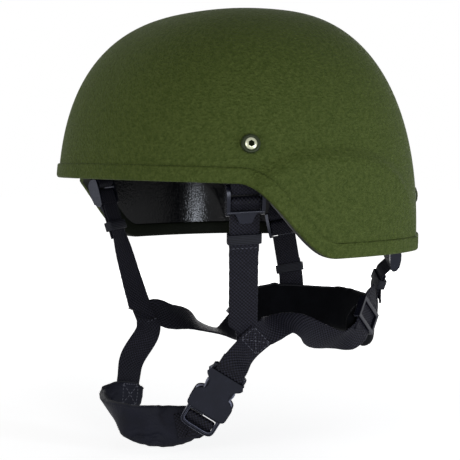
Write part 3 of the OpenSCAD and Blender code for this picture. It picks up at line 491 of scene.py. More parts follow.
def stuff(piece, voxel, cap, smooth=2):
    """Blows the cover up round its foam, no point further than cap."""
    bpy.context.view_layer.objects.active = piece
    remesh = piece.modifiers.new("remesh", "REMESH")
    remesh.mode, remesh.voxel_size = "VOXEL", voxel * 0.001
    bpy.ops.object.modifier_apply(modifier="remesh")
    rest = [v.co.copy() for v in piece.data.vertices]
    cloth = piece.modifiers.new("cloth", "CLOTH")
    cloth.settings.quality = 5
    cloth.settings.mass = 0.3
    cloth.settings.tension_stiffness = cloth.settings.compression_stiffness = 12
    cloth.settings.shear_stiffness = 6
    cloth.settings.bending_stiffness = 0.4
    cloth.settings.use_pressure = True
    cloth.settings.uniform_pressure_force = 4.0
    cloth.settings.effector_weights.gravity = 0
    for step in range(1, 21):
        bpy.context.scene.frame_set(step)
    shaped = piece.evaluated_get(bpy.context.evaluated_depsgraph_get()).data
    moved = [v.co.copy() for v in shaped.vertices]
    piece.modifiers.remove(cloth)
    bpy.context.scene.frame_set(1)
    for vertex, old, new in zip(piece.data.vertices, rest, moved):
        step = new - old
        vertex.co = old + step * min(1, cap * 0.001 / max(step.length, 1e-9))
    evened = piece.modifiers.new("evened", "SMOOTH")
    evened.iterations = smooth
    bpy.ops.object.modifier_apply(modifier="evened")
    finer = piece.modifiers.new("finer", "SUBSURF")
    finer.levels = 1
    bpy.ops.object.modifier_apply(modifier="finer")
    piece.data.polygons.foreach_set("use_smooth", [True] * len(piece.data.polygons))


def tube(centres, radius, closed=False):
    """Points and faces of a round cord along centres."""
    n, sides = len(centres), 8
    rings, side = [], None
    for i, p in enumerate(centres):
        a = centres[(i - 1) % n] if closed or i > 0 else p
        b = centres[(i + 1) % n] if closed or i < n - 1 else p
        ahead = (b - a).normalized()
        side = side if side else ahead.orthogonal()
        side = (side - ahead * side.dot(ahead)).normalized()
        out = ahead.cross(side)
        rings.append([
            p + (side * math.cos(2 * math.pi * j / sides) + out * math.sin(2 * math.pi * j / sides)) * radius
            for j in range(sides)])
    return loft(rings, caps=not closed, joined=closed)


def on_surface(tree_of_piece, outer, middle):
    """Where a line from outer to middle first meets the piece."""
    hit = tree_of_piece.ray_cast(outer * 0.001, (middle - outer).normalized())[0]
    return (hit if hit else middle * 0.001) * 1000


# Brushed polyester knit laminated to foam: near black, with a soft halo of fibre.
# Its loops are 0.7 mm, drawn at 1.1 mm so that they show.
knit_cover, tree = new_material("knit_cover")
spot = add(tree, "TexCoord", out="Object")
loops = add(tree, "TexVoronoi", {"Vector": spot, "Scale": 1 / 0.0011})
nap = add(tree, "TexNoise", {"Vector": spot, "Scale": 1 / 0.009, "Detail": 4.0})
tone = add(tree, "Mix", {0: nap, 6: linear("#15161a"), 7: linear("#24252a")}, out=2, data_type="RGBA")
finish_material(tree, tone, loops, 0.5, 0.0004, {
    "Roughness": 0.85, "IOR": 1.5, "Specular IOR Level": 0.06, "Sheen Weight": 0.1, "Sheen Roughness": 0.5})

# Woven nylon binding: black with a faint rib every 1.2 mm.
nylon_binding, tree = new_material("nylon_binding")
spot = add(tree, "TexCoord", out="Object")
ribs = add(tree, "TexNoise", {"Vector": spot, "Scale": 1 / 0.0012, "Detail": 2.0})
tone = add(tree, "Mix", {0: ribs, 6: linear("#0d0e11"), 7: linear("#202127")}, out=2, data_type="RGBA")
finish_material(tree, tone, ribs, 0.4, 0.0002, {"Roughness": 0.6, "IOR": 1.53, "Specular IOR Level": 0.15})

for name, place in pad_places.items():
    rings = [
        pad_ring(place, share * 0.97, pad_seat + 0.5 + (pad_t - 1.5) * depth, 40)
        for share, depth in pad_rows]
    points, faces = loft(rings)
    cover = make(name + "_cover", points, faces, knit_cover)
    stuff(cover, 4.5, 1.4)
    skin = BVHTree.FromObject(cover, bpy.context.evaluated_depsgraph_get())
    depth = pad_seat + pad_t * 0.5
    outer, core = pad_ring(place, 1.3, depth, 72), pad_ring(place, 0.2, depth, 72)
    seam = [on_surface(skin, a, b) for a, b in zip(outer, core)]
    seam = [(seam[i - 1] + seam[i] * 2 + seam[(i + 1) % len(seam)]) / 4 for i in range(len(seam))]
    cord = make(name + "_seam_cord", *tube(seam, 1.0, closed=True), nylon_binding)
    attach(cover, body_with[name])
    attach(cord, body_with[name])
    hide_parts(name)

# The hook-tape discs. Die-cut nylon hook tape, glued to the resin, with a rounded edge
# and rows of moulded hooks that the pads grip.
hook_nylon, tree = new_material("hook_nylon")
spot = add(tree, "TexCoord", out="Object")
hooks = add(tree, "TexVoronoi", {"Vector": spot, "Scale": 1 / 0.0014})
tone = add(tree, "Mix", {0: hooks, 6: linear("#08090a"), 7: linear("#26272b")}, out=2, data_type="RGBA")
finish_material(tree, tone, hooks, 0.8, 0.0005, {"Roughness": 0.7, "IOR": 1.53, "Specular IOR Level": 0.2})
disc_skins = []
for phi, rise, *_, side in pad_places.values():
    place = (phi, rise, 16, 16, 2, 0, side)
    rows = ((0.3, 0), (0.9, 0), (1, 0.15), (1, 0.8), (0.97, 1), (0.8, 1), (0.3, 1))
    rings = [pad_ring(place, share, disc_seat + disc_t * depth, 48, 0) for share, depth in rows]
    disc_skins.append(loft(rings))
discs = make("hook_tape_discs", *together(disc_skins), hook_nylon)
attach(discs, body_with["hook_discs"])
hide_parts("hook_discs")

# The webbing tabs that hang the adjusters. Flat nylon webbing, eyeleted under each screw,
# looped round the adjuster's top bar and sewn to itself.
strap_w, strap_t, strap_gap = 20, 1.5, 0.35


def curve(points, t):
    """A smooth curve through points, t from 0 to the number of points less one."""
    n = len(points)
    i = max(0, min(math.floor(t), n - 2))
    f, b, c = t - i, points[i], points[i + 1]
    a = b * 2 - c if i == 0 else points[i - 1]
    d = c * 2 - b if i + 2 > n - 1 else points[i + 2]
    square, cube = a * 2 - b * 5 + c * 4 - d, b * 3 - a - c * 3 + d
    return (b * 2 + (c - a) * f + square * f ** 2 + cube * f ** 3) * 0.5


def frame_on(path, facing, t):
    """Origin, across, out and along at t on a path."""
    last = len(path) - 1
    along = (curve(path, min(t + 0.03, last)) - curve(path, max(t - 0.03, 0))).normalized()
    out = curve(facing, t)
    out = (out - along * out.dot(along)).normalized()
    return curve(path, t), along.cross(out), out, along


def in_frame(fr, x, y, z):
    return fr[0] + fr[1] * x + fr[2] * y + fr[3] * z


def turned(fr, x, y, z):
    return fr[1] * x + fr[2] * y + fr[3] * z


def mirrored(points):
    return [Vector((-p.x, p.y, p.z)) for p in points]


def on_side(side, *lists):
    """Lists of points as they are for the left, and mirrored for the right."""
    return [mirrored(points) if side < 0 else points for points in lists]


def ribbon(path, facing, width=strap_w, wave=0.0):
    """Points, faces and cloth places of flat webbing with rounded selvedges along a path.
    wave is how far its edges run in and out."""
    w, h, end = width / 2, strap_t / 2, len(path) - 1
    flat = [w - 0.5, w - 1.4, w * 0.6, w * 0.3, 0, -w * 0.3, -w * 0.6, -w + 1.4, -w + 0.5]
    section = [(x, h if abs(x) < w - 1 else h * 0.86) for x in flat] + [(-w, h * 0.35), (-w, -h * 0.35)]
    section += [(-x, -y) for x, y in section]
    count = max(8, math.ceil(sum((b - a).length for a, b in zip(path, path[1:])) / 1.6))
    rings, weave, run, last = [], [], 0, None
    for i in range(count + 1):
        fr = frame_on(path, facing, end * i / count)
        run += (fr[0] - last).length if last else 0
        last = fr[0]
        ripple = 1 + wave * math.sin(run * 0.9) / w
        rings.append([in_frame(fr, x * ripple, y, 0) for x, y in section])
        weave += [(x * 0.001 + 0.5, run * 0.001) for x, y in section]
    points, faces = loft(rings)
    return points, faces, weave + [(0.5, 0), (0.5, run * 0.001)]


def webbing(name, *lengths, material=None):
    """One object of one or more lengths of webbing."""
    points, faces = together([length[:2] for length in lengths])
    weave = [place for length in lengths for place in length[2]]
    return make(name, points, faces, material or nylon_webbing, angle=60, weave=weave)


# Nylon webbing: near black with a blue cast, a plain double weave with ribs along and picks across it.
# Both are 1 mm apart, drawn at 1.3 mm so that they show.
nylon_webbing, tree = new_material("nylon_webbing")
cloth_place = add(tree, "UVMap", uv_map="Weave")
period = 2 * math.pi / 0.0026
across = add(tree, "SeparateXYZ", {0: cloth_place}, out="X")
along = add(tree, "SeparateXYZ", {0: cloth_place}, out="Y")
across = add(tree, "Math", {0: across, 1: period}, operation="MULTIPLY")
along = add(tree, "Math", {0: along, 1: period}, operation="MULTIPLY")
rib = add(tree, "Math", {0: across}, operation="SINE")
pick = add(tree, "Math", {0: along}, operation="SINE")
crossing = add(tree, "Math", {0: rib, 1: pick}, operation="MULTIPLY")
height = add(tree, "MapRange", {"Value": crossing, "From Min": -1.0})
spot = add(tree, "TexCoord", out="Object")
fuzz = add(tree, "TexNoise", {"Vector": spot, "Scale": 1 / 0.004, "Detail": 5.0})
contrast = add(tree, "MapRange", {"Value": height, "From Min": 0.3, "From Max": 0.8})
tone = add(tree, "Mix", {0: contrast, 6: linear("#040407"), 7: linear("#22222d")}, out=2, data_type="RGBA")
fuzz_share = add(tree, "MapRange", {"Value": fuzz, "From Min": 0.4, "From Max": 0.9})
tone = add(tree, "Mix", {0: fuzz_share, 6: tone, 7: linear("#101017")}, out=2, data_type="RGBA")
finish_material(tree, tone, height, 0.8, 0.0007, {"Roughness": 0.6, "IOR": 1.53, "Specular IOR Level": 0.1})


def stitching(name, rows, radius=0.28, thread=None):
    """Sewn thread: rows of (from, to, out) in millimetres, each stitch a short plump length of thread."""
    length, gap, stitches = 2.2, 0.9, []
    for a, b, out in rows:
        run = (b - a).length
        ahead = (b - a).normalized()
        side = ahead.cross(out).normalized()
        count = max(1, round(run / (length + gap)))
        for i in range(count):
            middle = a + ahead * run * (i + 0.5) / count
            reach = run / count * length / (length + gap) / 2
            rings = []
            for share, plump in ((-1, 0.35), (-0.7, 0.85), (0, 1), (0.7, 0.85), (1, 0.35)):
                centre = middle + ahead * reach * share - out * (0.25 * share * share)
                rings.append([
                    centre + (side * cos(q) + out * sin(q)) * radius * plump for q in range(0, 360, 60)])
            stitches.append(loft(rings))
    return make(name, *together(stitches), thread or sewing_thread, angle=80)


# Bonded nylon thread: dark grey, lightly waxed, so that each stitch has a small shine.
sewing_thread, tree = new_material("sewing_thread")
spot = add(tree, "TexCoord", out="Object")
twist = add(tree, "TexNoise", {"Vector": spot, "Scale": 1 / 0.0006, "Detail": 2.0})
tone = add(tree, "Mix", {0: twist, 6: linear("#2a2b33"), 7: linear("#60616c")}, out=2, data_type="RGBA")
finish_material(tree, tone, twist, 0.3, 0.0001, {"Roughness": 0.45, "IOR": 1.53, "Specular IOR Level": 0.3})


def sewn_box(fr, half_x, half_z, lift):
    """The rows of a stitched box with a cross in it, on the frame's outer face."""
    corners = [in_frame(fr, x * half_x, lift, z * half_z) for x, z in ((-1, -1), (1, -1), (1, 1), (-1, 1))]
    pairs = [(0, 1), (1, 2), (2, 3), (3, 0), (0, 2), (1, 3)]
    return [(corners[a], corners[b], fr[2]) for a, b in pairs]


def hang(o, target, out, lean):
    """The frame of a piece that hangs at o on a strap to target and leans out by degrees."""
    z0 = (o - target).normalized()
    x0 = out.cross(z0).normalized()
    y0 = z0.cross(x0)
    z, y = z0 * cos(lean) - y0 * sin(lean), y0 * cos(lean) + z0 * sin(lean)
    return o, y.cross(z), y, z


# Each adjuster hangs from its hinge: the front ones on the way to the joint at the cheek,
# the rear ones on the way to their keepers
cheek, rear_keeper_at = Vector((62.2, -48.6, -102.3)), Vector((52, 91, -72))
front_out = Vector((0.885, -0.465, 0)).normalized()
front_frame = hang(wall(57.7, 1, 18.8), cheek, front_out, 0)
rear_turn, rear_level = bolt_places["rear"]
rear_out = bolt_frame(rear_turn, rear_level)[3]
rear_hinges = {1: wall(rear_turn, -44, 17), -1: wall(rear_turn, -28, 20)}
rear_frames = {
    side: hang(rear_hinges[side], rear_keeper_at, rear_out, lean) for side, lean in ((1, 16), (-1, 3))}
tab_depth, loop_r = shell_t + 1.8 + strap_t / 2, 1.8 + strap_gap + strap_t / 2
# In an adjuster the loaded webbing lies at load_y and its spare tail a layer further out
load_y, layer = -1.1, strap_t + strap_gap
tail_y, wrap_end = load_y + layer, -14.5 - 1.6


def tab(phi, z, fr):
    bolt = bolt_frame(phi, z)
    knee_z = above_rim(phi, trim_h) + 1
    knee = [wall(phi, knee_z, shell_t + 6.6)] if knee_z > fr[0].z + 10 else []
    path = [in_frame(bolt, 0, rise, -tab_depth) for rise in (9.5, 0, -8)] + knee
    slant = loop_r * 0.7
    path += [in_frame(fr, 0, y, z) for y, z in (
        (loop_r + 0.3, 7), (loop_r, 0), (slant, -slant), (0, -loop_r), (-slant, -slant), (-loop_r, 0),
        (-loop_r + 1.2, 6))]
    facing = [bolt[3]] * 3 + ([bolt[3] + fr[2]] if knee else [])
    facing += [fr[2], fr[2], turned(fr, 0, 0.7, -0.7), -fr[3], turned(fr, 0, -0.7, -0.7), -fr[2], -fr[2]]
    return path, facing


sides = {"left": 1, "right": -1}
for where, (phi, z) in bolt_places.items():
    for hand, side in sides.items():
        fr = front_frame if where == "front" else rear_frames[side]
        path, facing = on_side(side, *tab(phi, z, fr))
        piece = webbing(f"{where}_{hand}_tab_webbing", ribbon(path, facing))
        node = f"{where}_{hand}_anchor"
        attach(piece, body_with[node])
        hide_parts(node)

# The ladder-lock adjusters. Moulded acetal frames with a top bar, a friction bar and a thumb tab;
# the webbing folds over the friction bar and jams when the frame hangs down.

# Moulded acetal: blue-black, satin, with the soft flow marks of its mould; its edges take a paler acetal,
# part wear and part painted highlight.
moulded_acetal, tree = new_material("moulded_acetal")
spot = add(tree, "TexCoord", out="Object")
flow = add(tree, "TexNoise", {"Vector": spot, "Scale": 1 / 0.008, "Detail": 3.0})
spark = add(tree, "TexNoise", {"Vector": spot, "Scale": 1 / 0.0007, "Detail": 2.0})
tone = add(tree, "Mix", {0: flow, 6: linear("#0b0c12"), 7: linear("#171822")}, out=2, data_type="RGBA")
shine = add(tree, "MapRange", {"Value": flow, "To Min": 0.2, "To Max": 0.32})
finish_material(tree, tone, spark, 0.12, 0.0002, {
    "Roughness": shine, "IOR": 1.48, "Specular IOR Level": 0.28, "Specular Tint": (0.8, 0.84, 1, 1)})

# Acetal along the edges: paler and smoother, with scuffs 3 mm long; partly wear from straps and fingers,
# partly a painted highlight.
worn_and_highlit_acetal, tree = new_material("worn_and_highlit_acetal")
spot = add(tree, "TexCoord", out="Object")
scuffs = add(tree, "TexNoise", {"Vector": spot, "Scale": 1 / 0.003, "Detail": 3.0})
tone = add(tree, "Mix", {0: scuffs, 6: linear("#474958"), 7: linear("#7c7e90")}, out=2, data_type="RGBA")
shine = add(tree, "MapRange", {"Value": scuffs, "To Min": 0.18, "To Max": 0.3})
finish_material(tree, tone, scuffs, 0.1, 0.0002, {
    "Roughness": shine, "IOR": 1.48, "Specular IOR Level": 0.35, "Specular Tint": (0.8, 0.84, 1, 1)})

# The adjusters' softened edges take the paler acetal, part wear and part painted highlight
for where in ("front", "rear"):
    for hand in sides:
        dress(f"{where}_{hand}_adjuster", moulded_acetal, 0.8, edge=worn_and_highlit_acetal)


def wrap_route(fr):
    r, c = 1.4 + 0.3 + strap_t / 2, -7.5
    path = [in_frame(fr, 0, y, z) for y, z in (
        (load_y, wrap_end), (load_y, c - 4), (1.4 - r, c), (1.4 - r * 0.7, c + r * 0.7), (1.4, c + r),
        (1.4 + r * 0.7, c + r * 0.7), (1.4 + r, c), (tail_y + 1, -12), (tail_y, wrap_end))]
    facing = [-fr[2]] * 3 + [turned(fr, 0, -0.7, 0.7), fr[3], turned(fr, 0, 0.7, 0.7)] + [fr[2]] * 3
    return path, facing


for where in ("front", "rear"):
    for hand, side in sides.items():
        fr = front_frame if where == "front" else rear_frames[side]
        path, facing = on_side(side, *wrap_route(fr))
        piece = webbing(f"{where}_{hand}_fold_webbing", ribbon(path, facing))
        node = f"{where}_{hand}_wrap"
        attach(piece, body_with[node])
        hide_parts(node)

# The front straps. One length of webbing from each front adjuster down to the joint at the cheek,
# with its spare tail folded up in front and held by an elastic keeper.
keeper_drop, tail_h = 34.5, 28
front_length = (front_frame[0] - cheek).length


def cheek_out(side):
    n = front_out if side > 0 else Vector((0.995, 0.1, 0)).normalized()
    return (n - front_frame[3] * n.dot(front_frame[3])).normalized()


def on_cheek(side, along, down, lift):
    n = cheek_out(side)
    return cheek + front_frame[3].cross(n) * along - front_frame[3] * down + n * lift


def front_route(side):
    fr, n = front_frame, cheek_out(side)
    heights = [(load_y, z) for z in (wrap_end - 0.4, -keeper_drop + 8, -keeper_drop, -keeper_drop - 10)]
    heights += [(-0.3, -front_length * 0.62), (0, -front_length * 0.8)]
    path = [in_frame(fr, 0, y, z) for y, z in heights] + [cheek, cheek - fr[3] * 5]
    return path, [fr[2]] * 4 + [fr[2] * 1.5 + n, fr[2] + n * 1.6, n, n]


for hand, side in sides.items():
    path, facing = front_route(side)
    tail = [in_frame(front_frame, 0, tail_y, z) for z in (wrap_end - 0.4, -keeper_drop, wrap_end - tail_h)]
    hem = [in_frame(front_frame, x, tail_y + strap_t / 2, wrap_end - tail_h + 3) for x in (-9, 9)]
    tail_facing = [front_frame[2]] * 3
    ends = [cheek, front_frame[3]]
    path, facing, tail, tail_facing, hem, ends = on_side(side, path, facing, tail, tail_facing, hem, ends)
    points, faces, weave = ribbon(path, facing, wave=0.12)
    corner, rise = ends
    sideways = rise.cross(facing[-1]) * side
    for i, p in enumerate(points):
        short = -5 + (strap_w / 2 - (p - corner).dot(sideways)) * 0.75 - (p - corner).dot(rise)
        points[i] = p + rise * max(short, 0)
    node = f"front_{hand}_strap"
    piece = webbing(node + "_webbing", (points, faces, weave), ribbon(tail, tail_facing))
    thread = stitching(node + "_hem_thread", [(hem[0], hem[1], tail_facing[0])])
    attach(piece, body_with[node])
    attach(thread, body_with[node])
    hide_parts(node)

# The nape pad. A curved band of thin foam in a nylon cover behind the neck,
# with a rolled hem sewn along its top and bottom edges.
nape_z, nape_h, nape_t = -103, 40, 8
nape_path = [Vector((x, y, nape_z)) for x, y in (
    (-63.5, 47), (-60, 65), (-54, 79), (-35, 97), (0, 106), (35, 97), (54, 79), (60, 65), (63.5, 47))]
nape_facing = [Vector((x, y, 0)) for x, y in (
    (-0.97, 0.2), (-0.93, 0.36), (-0.82, 0.57), (-0.45, 0.9), (0, 1), (0.45, 0.9), (0.82, 0.57),
    (0.93, 0.36), (0.97, 0.2))]
nape_widths = [nape_h * share for share in (0.45, 0.9, 1, 0.95, 1, 0.95, 1, 0.9, 0.45)]
nape_lift = nape_t / 2 + 0.15 + strap_t / 2


def soft_band(path, facing, widths, thick, slim):
    """Rings of a crowned soft band along a path, each width and thickness less by slim."""
    rings = []
    count = (len(path) - 1) * 8
    for i in range(count + 1):
        t = (len(path) - 1) * i / count
        fr = frame_on(path, facing, t)
        w = curve(widths, t) / 2 - slim
        h = (thick / 2 - slim * 0.5) * (0.55 if i in (0, count) else 1)
        rings.append([
            in_frame(fr, w * signed_power(cos(q), 0.45), h * signed_power(sin(q), 0.8), 0)
            for q in (360 * j / 32 for j in range(32))])
    return rings


def edge_line(piece, path, facing, widths, side, first, last, count):
    """Points on a soft band's edge, found on its finished surface."""
    skin = BVHTree.FromObject(piece, bpy.context.evaluated_depsgraph_get())
    line = []
    for i in range(count + 1):
        t = first + (last - first) * i / count
        fr = frame_on(path, facing, t)
        line.append(on_surface(skin, in_frame(fr, side * (curve(widths, t) / 2 + 12), 0, 0), fr[0]))
    return [(line[max(i - 1, 0)] + line[i] * 2 + line[min(i + 1, count)]) / 4 for i in range(count + 1)]


def binding(name, piece, path, facing, widths, first, last, count, radius):
    """A rolled hem along both edges of a soft band."""
    edges = [edge_line(piece, path, facing, widths, side, first, last, count) for side in (-1, 1)]
    return make(name, *together([tube(line, radius) for line in edges]), nylon_binding)


# Brushed nylon lining: a short black pile, darker than the pads' knit cover, its black partly its own and
# partly painted shade, with its nap drawn at 1 mm.
brushed_lining_and_shade, tree = new_material("brushed_lining_and_shade")
spot = add(tree, "TexCoord", out="Object")
nap = add(tree, "TexNoise", {"Vector": spot, "Scale": 1 / 0.001, "Detail": 3.0})
brushed = add(tree, "TexNoise", {"Vector": spot, "Scale": 1 / 0.015, "Detail": 3.0, "Distortion": 0.5})
tone = add(tree, "Mix", {0: brushed, 6: linear("#060709"), 7: linear("#111216")}, out=2, data_type="RGBA")
relief = add(tree, "Math", {0: brushed, 1: 4.0, 2: nap}, operation="MULTIPLY_ADD")
finish_material(tree, tone, relief, 0.5, 0.0004, {
    "Roughness": 0.9, "IOR": 1.5, "Specular IOR Level": 0.03, "Sheen Weight": 0.03})

points, faces = loft(soft_band(nape_path, nape_facing, nape_widths, nape_t, slim=0.8))
nape_cover = make("nape_pad_cover", points, faces, brushed_lining_and_shade)
stuff(nape_cover, 3.0, 1.2)
nape_hem = binding("nape_pad_hem", nape_cover, nape_path, nape_facing, nape_widths, 0.35, 7.65, 120, 0.9)
for piece in (nape_cover, nape_hem):
    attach(piece, body_with["nape_pad"])
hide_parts("nape_pad")

# The rear straps. Webbing from each rear adjuster through an elastic keeper,
# sewn to the outside of the nape pad under a short second layer.


def nape_at(t):
    return frame_on(nape_path, nape_facing, t + 1)


def nape_on(t, z, lift):
    fr = nape_at(t)
    p = fr[0] + fr[2] * lift
    return Vector((p.x, p.y, z))


def rear_route(side):
    fr, keeper_up = rear_frames[side], (rear_hinges[side] - rear_keeper_at).normalized()
    upright = hang(rear_hinges[side], rear_keeper_at, rear_out, 0)[2]
    path = [in_frame(fr, 0, load_y, wrap_end - 0.8)]
    path += [rear_keeper_at + keeper_up * d for d in (7, 2.5, -2.5, -7)]
    path += [nape_on(4.5, nape_z + 13, nape_lift + 0.6), nape_on(4.5, nape_z + 1, nape_lift + 0.3)]
    out = nape_at(4.5)[2]
    return path, [fr[2]] + [upright] * 4 + [out, out]


for hand, side in sides.items():
    path, facing = rear_route(side)
    tail = [path[i] + facing[i] * (layer + (0.8 if i == 5 else 0)) for i in range(1, 6)]
    tail_facing = facing[1:6]
    out = facing[6]
    sewn_at = (path[6], Vector((0, 0, 1)).cross(out), out, Vector((0, 0, 1)))
    rows = []
    for z in (nape_z + 3, nape_z + 9):
        a, b = (in_frame(sewn_at, x, strap_t / 2, z - path[6].z) for x in (-8.5, 8.5))
        rows.append((a, b, out))
    path, facing, tail, tail_facing, *rows = on_side(side, path, facing, tail, tail_facing, *rows)
    node = f"rear_{hand}_strap"
    piece = webbing(node + "_webbing", ribbon(path, facing), ribbon(tail, tail_facing))
    thread = stitching(node + "_thread", rows)
    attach(piece, body_with[node])
    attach(thread, body_with[node])
    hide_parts(node)

# The keepers. Loops of ribbed elastic, sewn shut, that slide on the webbing
# and hold the spare tails flat.
keeper_h, keeper_t = 7, 1.2

# Covered rubber elastic: black, with ribs along the loop 0.9 mm apart, drawn at 1.2 mm so that they show.
ribbed_elastic, tree = new_material("ribbed_elastic")
cloth_place = add(tree, "UVMap", uv_map="Weave")
across = add(tree, "SeparateXYZ", {0: cloth_place}, out="X")
turns = add(tree, "Math", {0: across, 1: 2 * math.pi / 0.0012}, operation="MULTIPLY")
ridge = add(tree, "Math", {0: turns}, operation="SINE")
height = add(tree, "MapRange", {"Value": ridge, "From Min": -1.0})
tone = add(tree, "Mix", {0: height, 6: linear("#08090c"), 7: linear("#25262e")}, out=2, data_type="RGBA")
finish_material(tree, tone, height, 0.6, 0.0003, {"Roughness": 0.65, "IOR": 1.52, "Specular IOR Level": 0.15})


def keeper_loop(fr):
    """A loop of elastic round two layers of webbing."""
    w, h = (strap_w + 0.8) / 2 + keeper_t / 2, (2 * strap_t + strap_gap + 1) / 2 + keeper_t / 2
    corner, ring = 1.2, []
    for i, (x, y) in enumerate(((1, 1), (-1, 1), (-1, -1), (1, -1))):
        for turn in (90 * i + 22.5 * k for k in range(5)):
            ring.append((x * (w - corner) + corner * cos(turn), y * (h - corner) + corner * sin(turn), turn))
    half, t = keeper_h / 2, keeper_t / 2
    section = [
        (-half, t * 0.5), (-half + 0.3, t), (-half * 0.3, t), (half * 0.3, t), (half - 0.3, t),
        (half, t * 0.5)]
    section += [(-z, -y) for z, y in section]
    rings, weave = [], []
    for i, (x, y, turn) in enumerate(ring):
        lift = Vector((cos(turn), sin(turn)))
        rings.append([in_frame(fr, x + lift.x * s, y + lift.y * s + layer / 2, z) for z, s in section])
        weave += [(z * 0.001 + 0.5, i * 0.002) for z, s in section]
    points, faces = loft(rings, caps=False, joined=True)
    return points, faces, weave


fr = front_frame
front_keeper = (in_frame(fr, 0, load_y, -keeper_drop), fr[1], fr[2], fr[3])
for where in ("front", "rear"):
    for hand, side in sides.items():
        fr = front_keeper
        if where == "rear":
            path, facing = rear_route(side)
            fr = frame_on(path, facing, 2.5)
            fr = (fr[0], -fr[1], fr[2], -fr[3])
        points, faces, weave = keeper_loop(fr)
        points = mirrored(points) if side < 0 else points
        node = f"{where}_{hand}_keeper"
        piece = webbing(node + "_elastic", (points, faces, weave), material=ribbed_elastic)
        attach(piece, body_with[node])
        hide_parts(node)

# The lower straps. Webbing from the ends of the nape pad through a flat slider,
# turning over itself once on its way to the joint at the cheek, where it is sewn on the inside.
slider_at = {1: Vector((67.5, 64, -96)), -1: Vector((70, 57, -109))}
slider_up = Vector((-5, 13, 16)).normalized()
nape_points = {
    1: [
        (70, 47, -111), (66.5, 34, -111.5), (64.5, 17, -106.5), (64.5, 2, -98.5), (65, -12, -95),
        (66, -24, -97)],
    -1: [
        (68.5, 42, -122), (61, 32, -123), (58, 20, -119.5), (59.5, 5, -114), (61, -8, -107),
        (61, -24, -104)],
}
nape_turns = {
    1: [
        (0.95, 0.1, -0.25), (0.7, 0.1, -0.7), (0.95, 0, -0.3), (0.85, 0, 0.5), (0.6, -0.1, 0.8),
        (0.75, -0.25, 0.6)],
    -1: [
        (0.8, 0, -0.55), (0.35, -0.25, -0.85), (0.2, -0.36, -0.9), (0.35, -0.2, -0.9), (0.75, 0, -0.6),
        (0.95, 0.05, -0.3)],
}
# Its end on the cheek joint: how far along, down and out
nape_ends = {
    1: [(13, -1, -layer - 0.9), (5, 0, -layer - 0.1), (-4, 1, -layer)],
    -1: [(13, -1, layer + 1.8), (5, 1, layer + 0.4), (-5, 2, layer)],
}


def nape_route(side):
    start = nape_on(5.2, -83.5, nape_lift + 1.2) if side > 0 else nape_on(5.5, -96, nape_lift + 1.2)
    path = [start] + [slider_at[side] + slider_up * d for d in (13, 10, 0, -11, -13.5 if side > 0 else -14.3)]
    path += [Vector(p) for p in nape_points[side]] + [on_cheek(side, *end) for end in nape_ends[side]]
    facing = [nape_at(5.2 if side > 0 else 5.5)[2]] + [Vector((0.96, 0.27, 0))] * 5
    facing += [Vector(p) for p in nape_turns[side]] + [cheek_out(side)] * 3
    return path, facing


for hand, side in sides.items():
    path, facing = on_side(side, *nape_route(side))
    node = f"nape_{hand}_strap"
    piece = webbing(node + "_webbing", ribbon(path, facing, wave=0.1))
    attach(piece, body_with[node])
    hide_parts(node)
    dress(f"nape_{hand}_slider", moulded_acetal, 0.4)

# The side-release buckle. A moulded acetal socket on a sewn loop of webbing,
# and a plug with two sprung latch arms; pinching the arms lets the plug slide out.
buckle_mouth, buckle_top = Vector((47.9, -69, -151.8)), Vector((62.8, -57.9, -122.3))
buckle_up = (buckle_top - buckle_mouth).normalized()
buckle_out = Vector((0.79, -0.61, 0.07))
buckle_out = (buckle_out - buckle_up * buckle_out.dot(buckle_up)).normalized()
buckle_frame = (buckle_mouth, buckle_out.cross(buckle_up), buckle_out, buckle_up)
socket_h, plug_h, slot_low, slot_high = 34, 15, 34 - 6.2, 34 - 2.8
slot_mid, slot_reach, slot_half = (slot_low + slot_high) / 2, (slot_high - slot_low) / 2, strap_w / 2 + 0.3
# The arms' softened edges take the paler acetal, part wear and part painted highlight
for node in ("buckle_front_arm", "buckle_rear_arm"):
    dress(node, moulded_acetal, 1.0, edge=worn_and_highlit_acetal)

# One side of the socket's waisted outline, from its mouth up to the slot's frame
waist_line = [Vector((x, 0, z)) for x, z in (
    (12, 0), (12.9, 1), (13, 5), (12.9, 9.6), (11.4, 11.2), (8.6, 12.6), (7, 15), (6.6, 18), (7.2, 21),
    (9, 23.6), (11.4, 25.4), (12.4, 27.2))]
half_n = 67
edge_n = 2 * half_n
edge = [curve(waist_line, (len(waist_line) - 1) * i / (half_n - 1)) for i in range(half_n)]
edge += [Vector((-p.x, 0, p.z)) for p in reversed(edge)]
inward = [
    (edge[(i + 1) % edge_n] - edge[i - 1]).normalized().cross(Vector((0, -1, 0))) for i in range(edge_n)]
# The rows of a face plate, from its inner face over its rounded border: height and inset
plate_rows = ((3.02, 0.3), (3.02, 0), (3.5, 0), (3.9, 0.2), (4.25, 0.7), (4.45, 1.3), (4.5, 1.7), (4.5, 2.1))
# The side walls' section, and their rows: level and how much slimmer they are there
wall_section = (
    (10.2, -3.1), (12.4, -3.1), (12.9, -2.6), (13, -1.5), (13, 1.5), (12.9, 2.6), (12.4, 3.1), (10.2, 3.1))
wall_rows = ((0.3, 0.6), (0.7, 0.1), (1.2, 0), (9, 0), (9.8, 0.2), (10.3, 0.8))


def frame_ring(far, near, rows):
    """A ring round one bar of a frame. Each row is its share of the way from far to near, and its height."""
    spots = [(far.lerp(near, share), y) for share, y in rows]
    return [in_frame(buckle_frame, p.x, y, p.y) for p, y in spots]
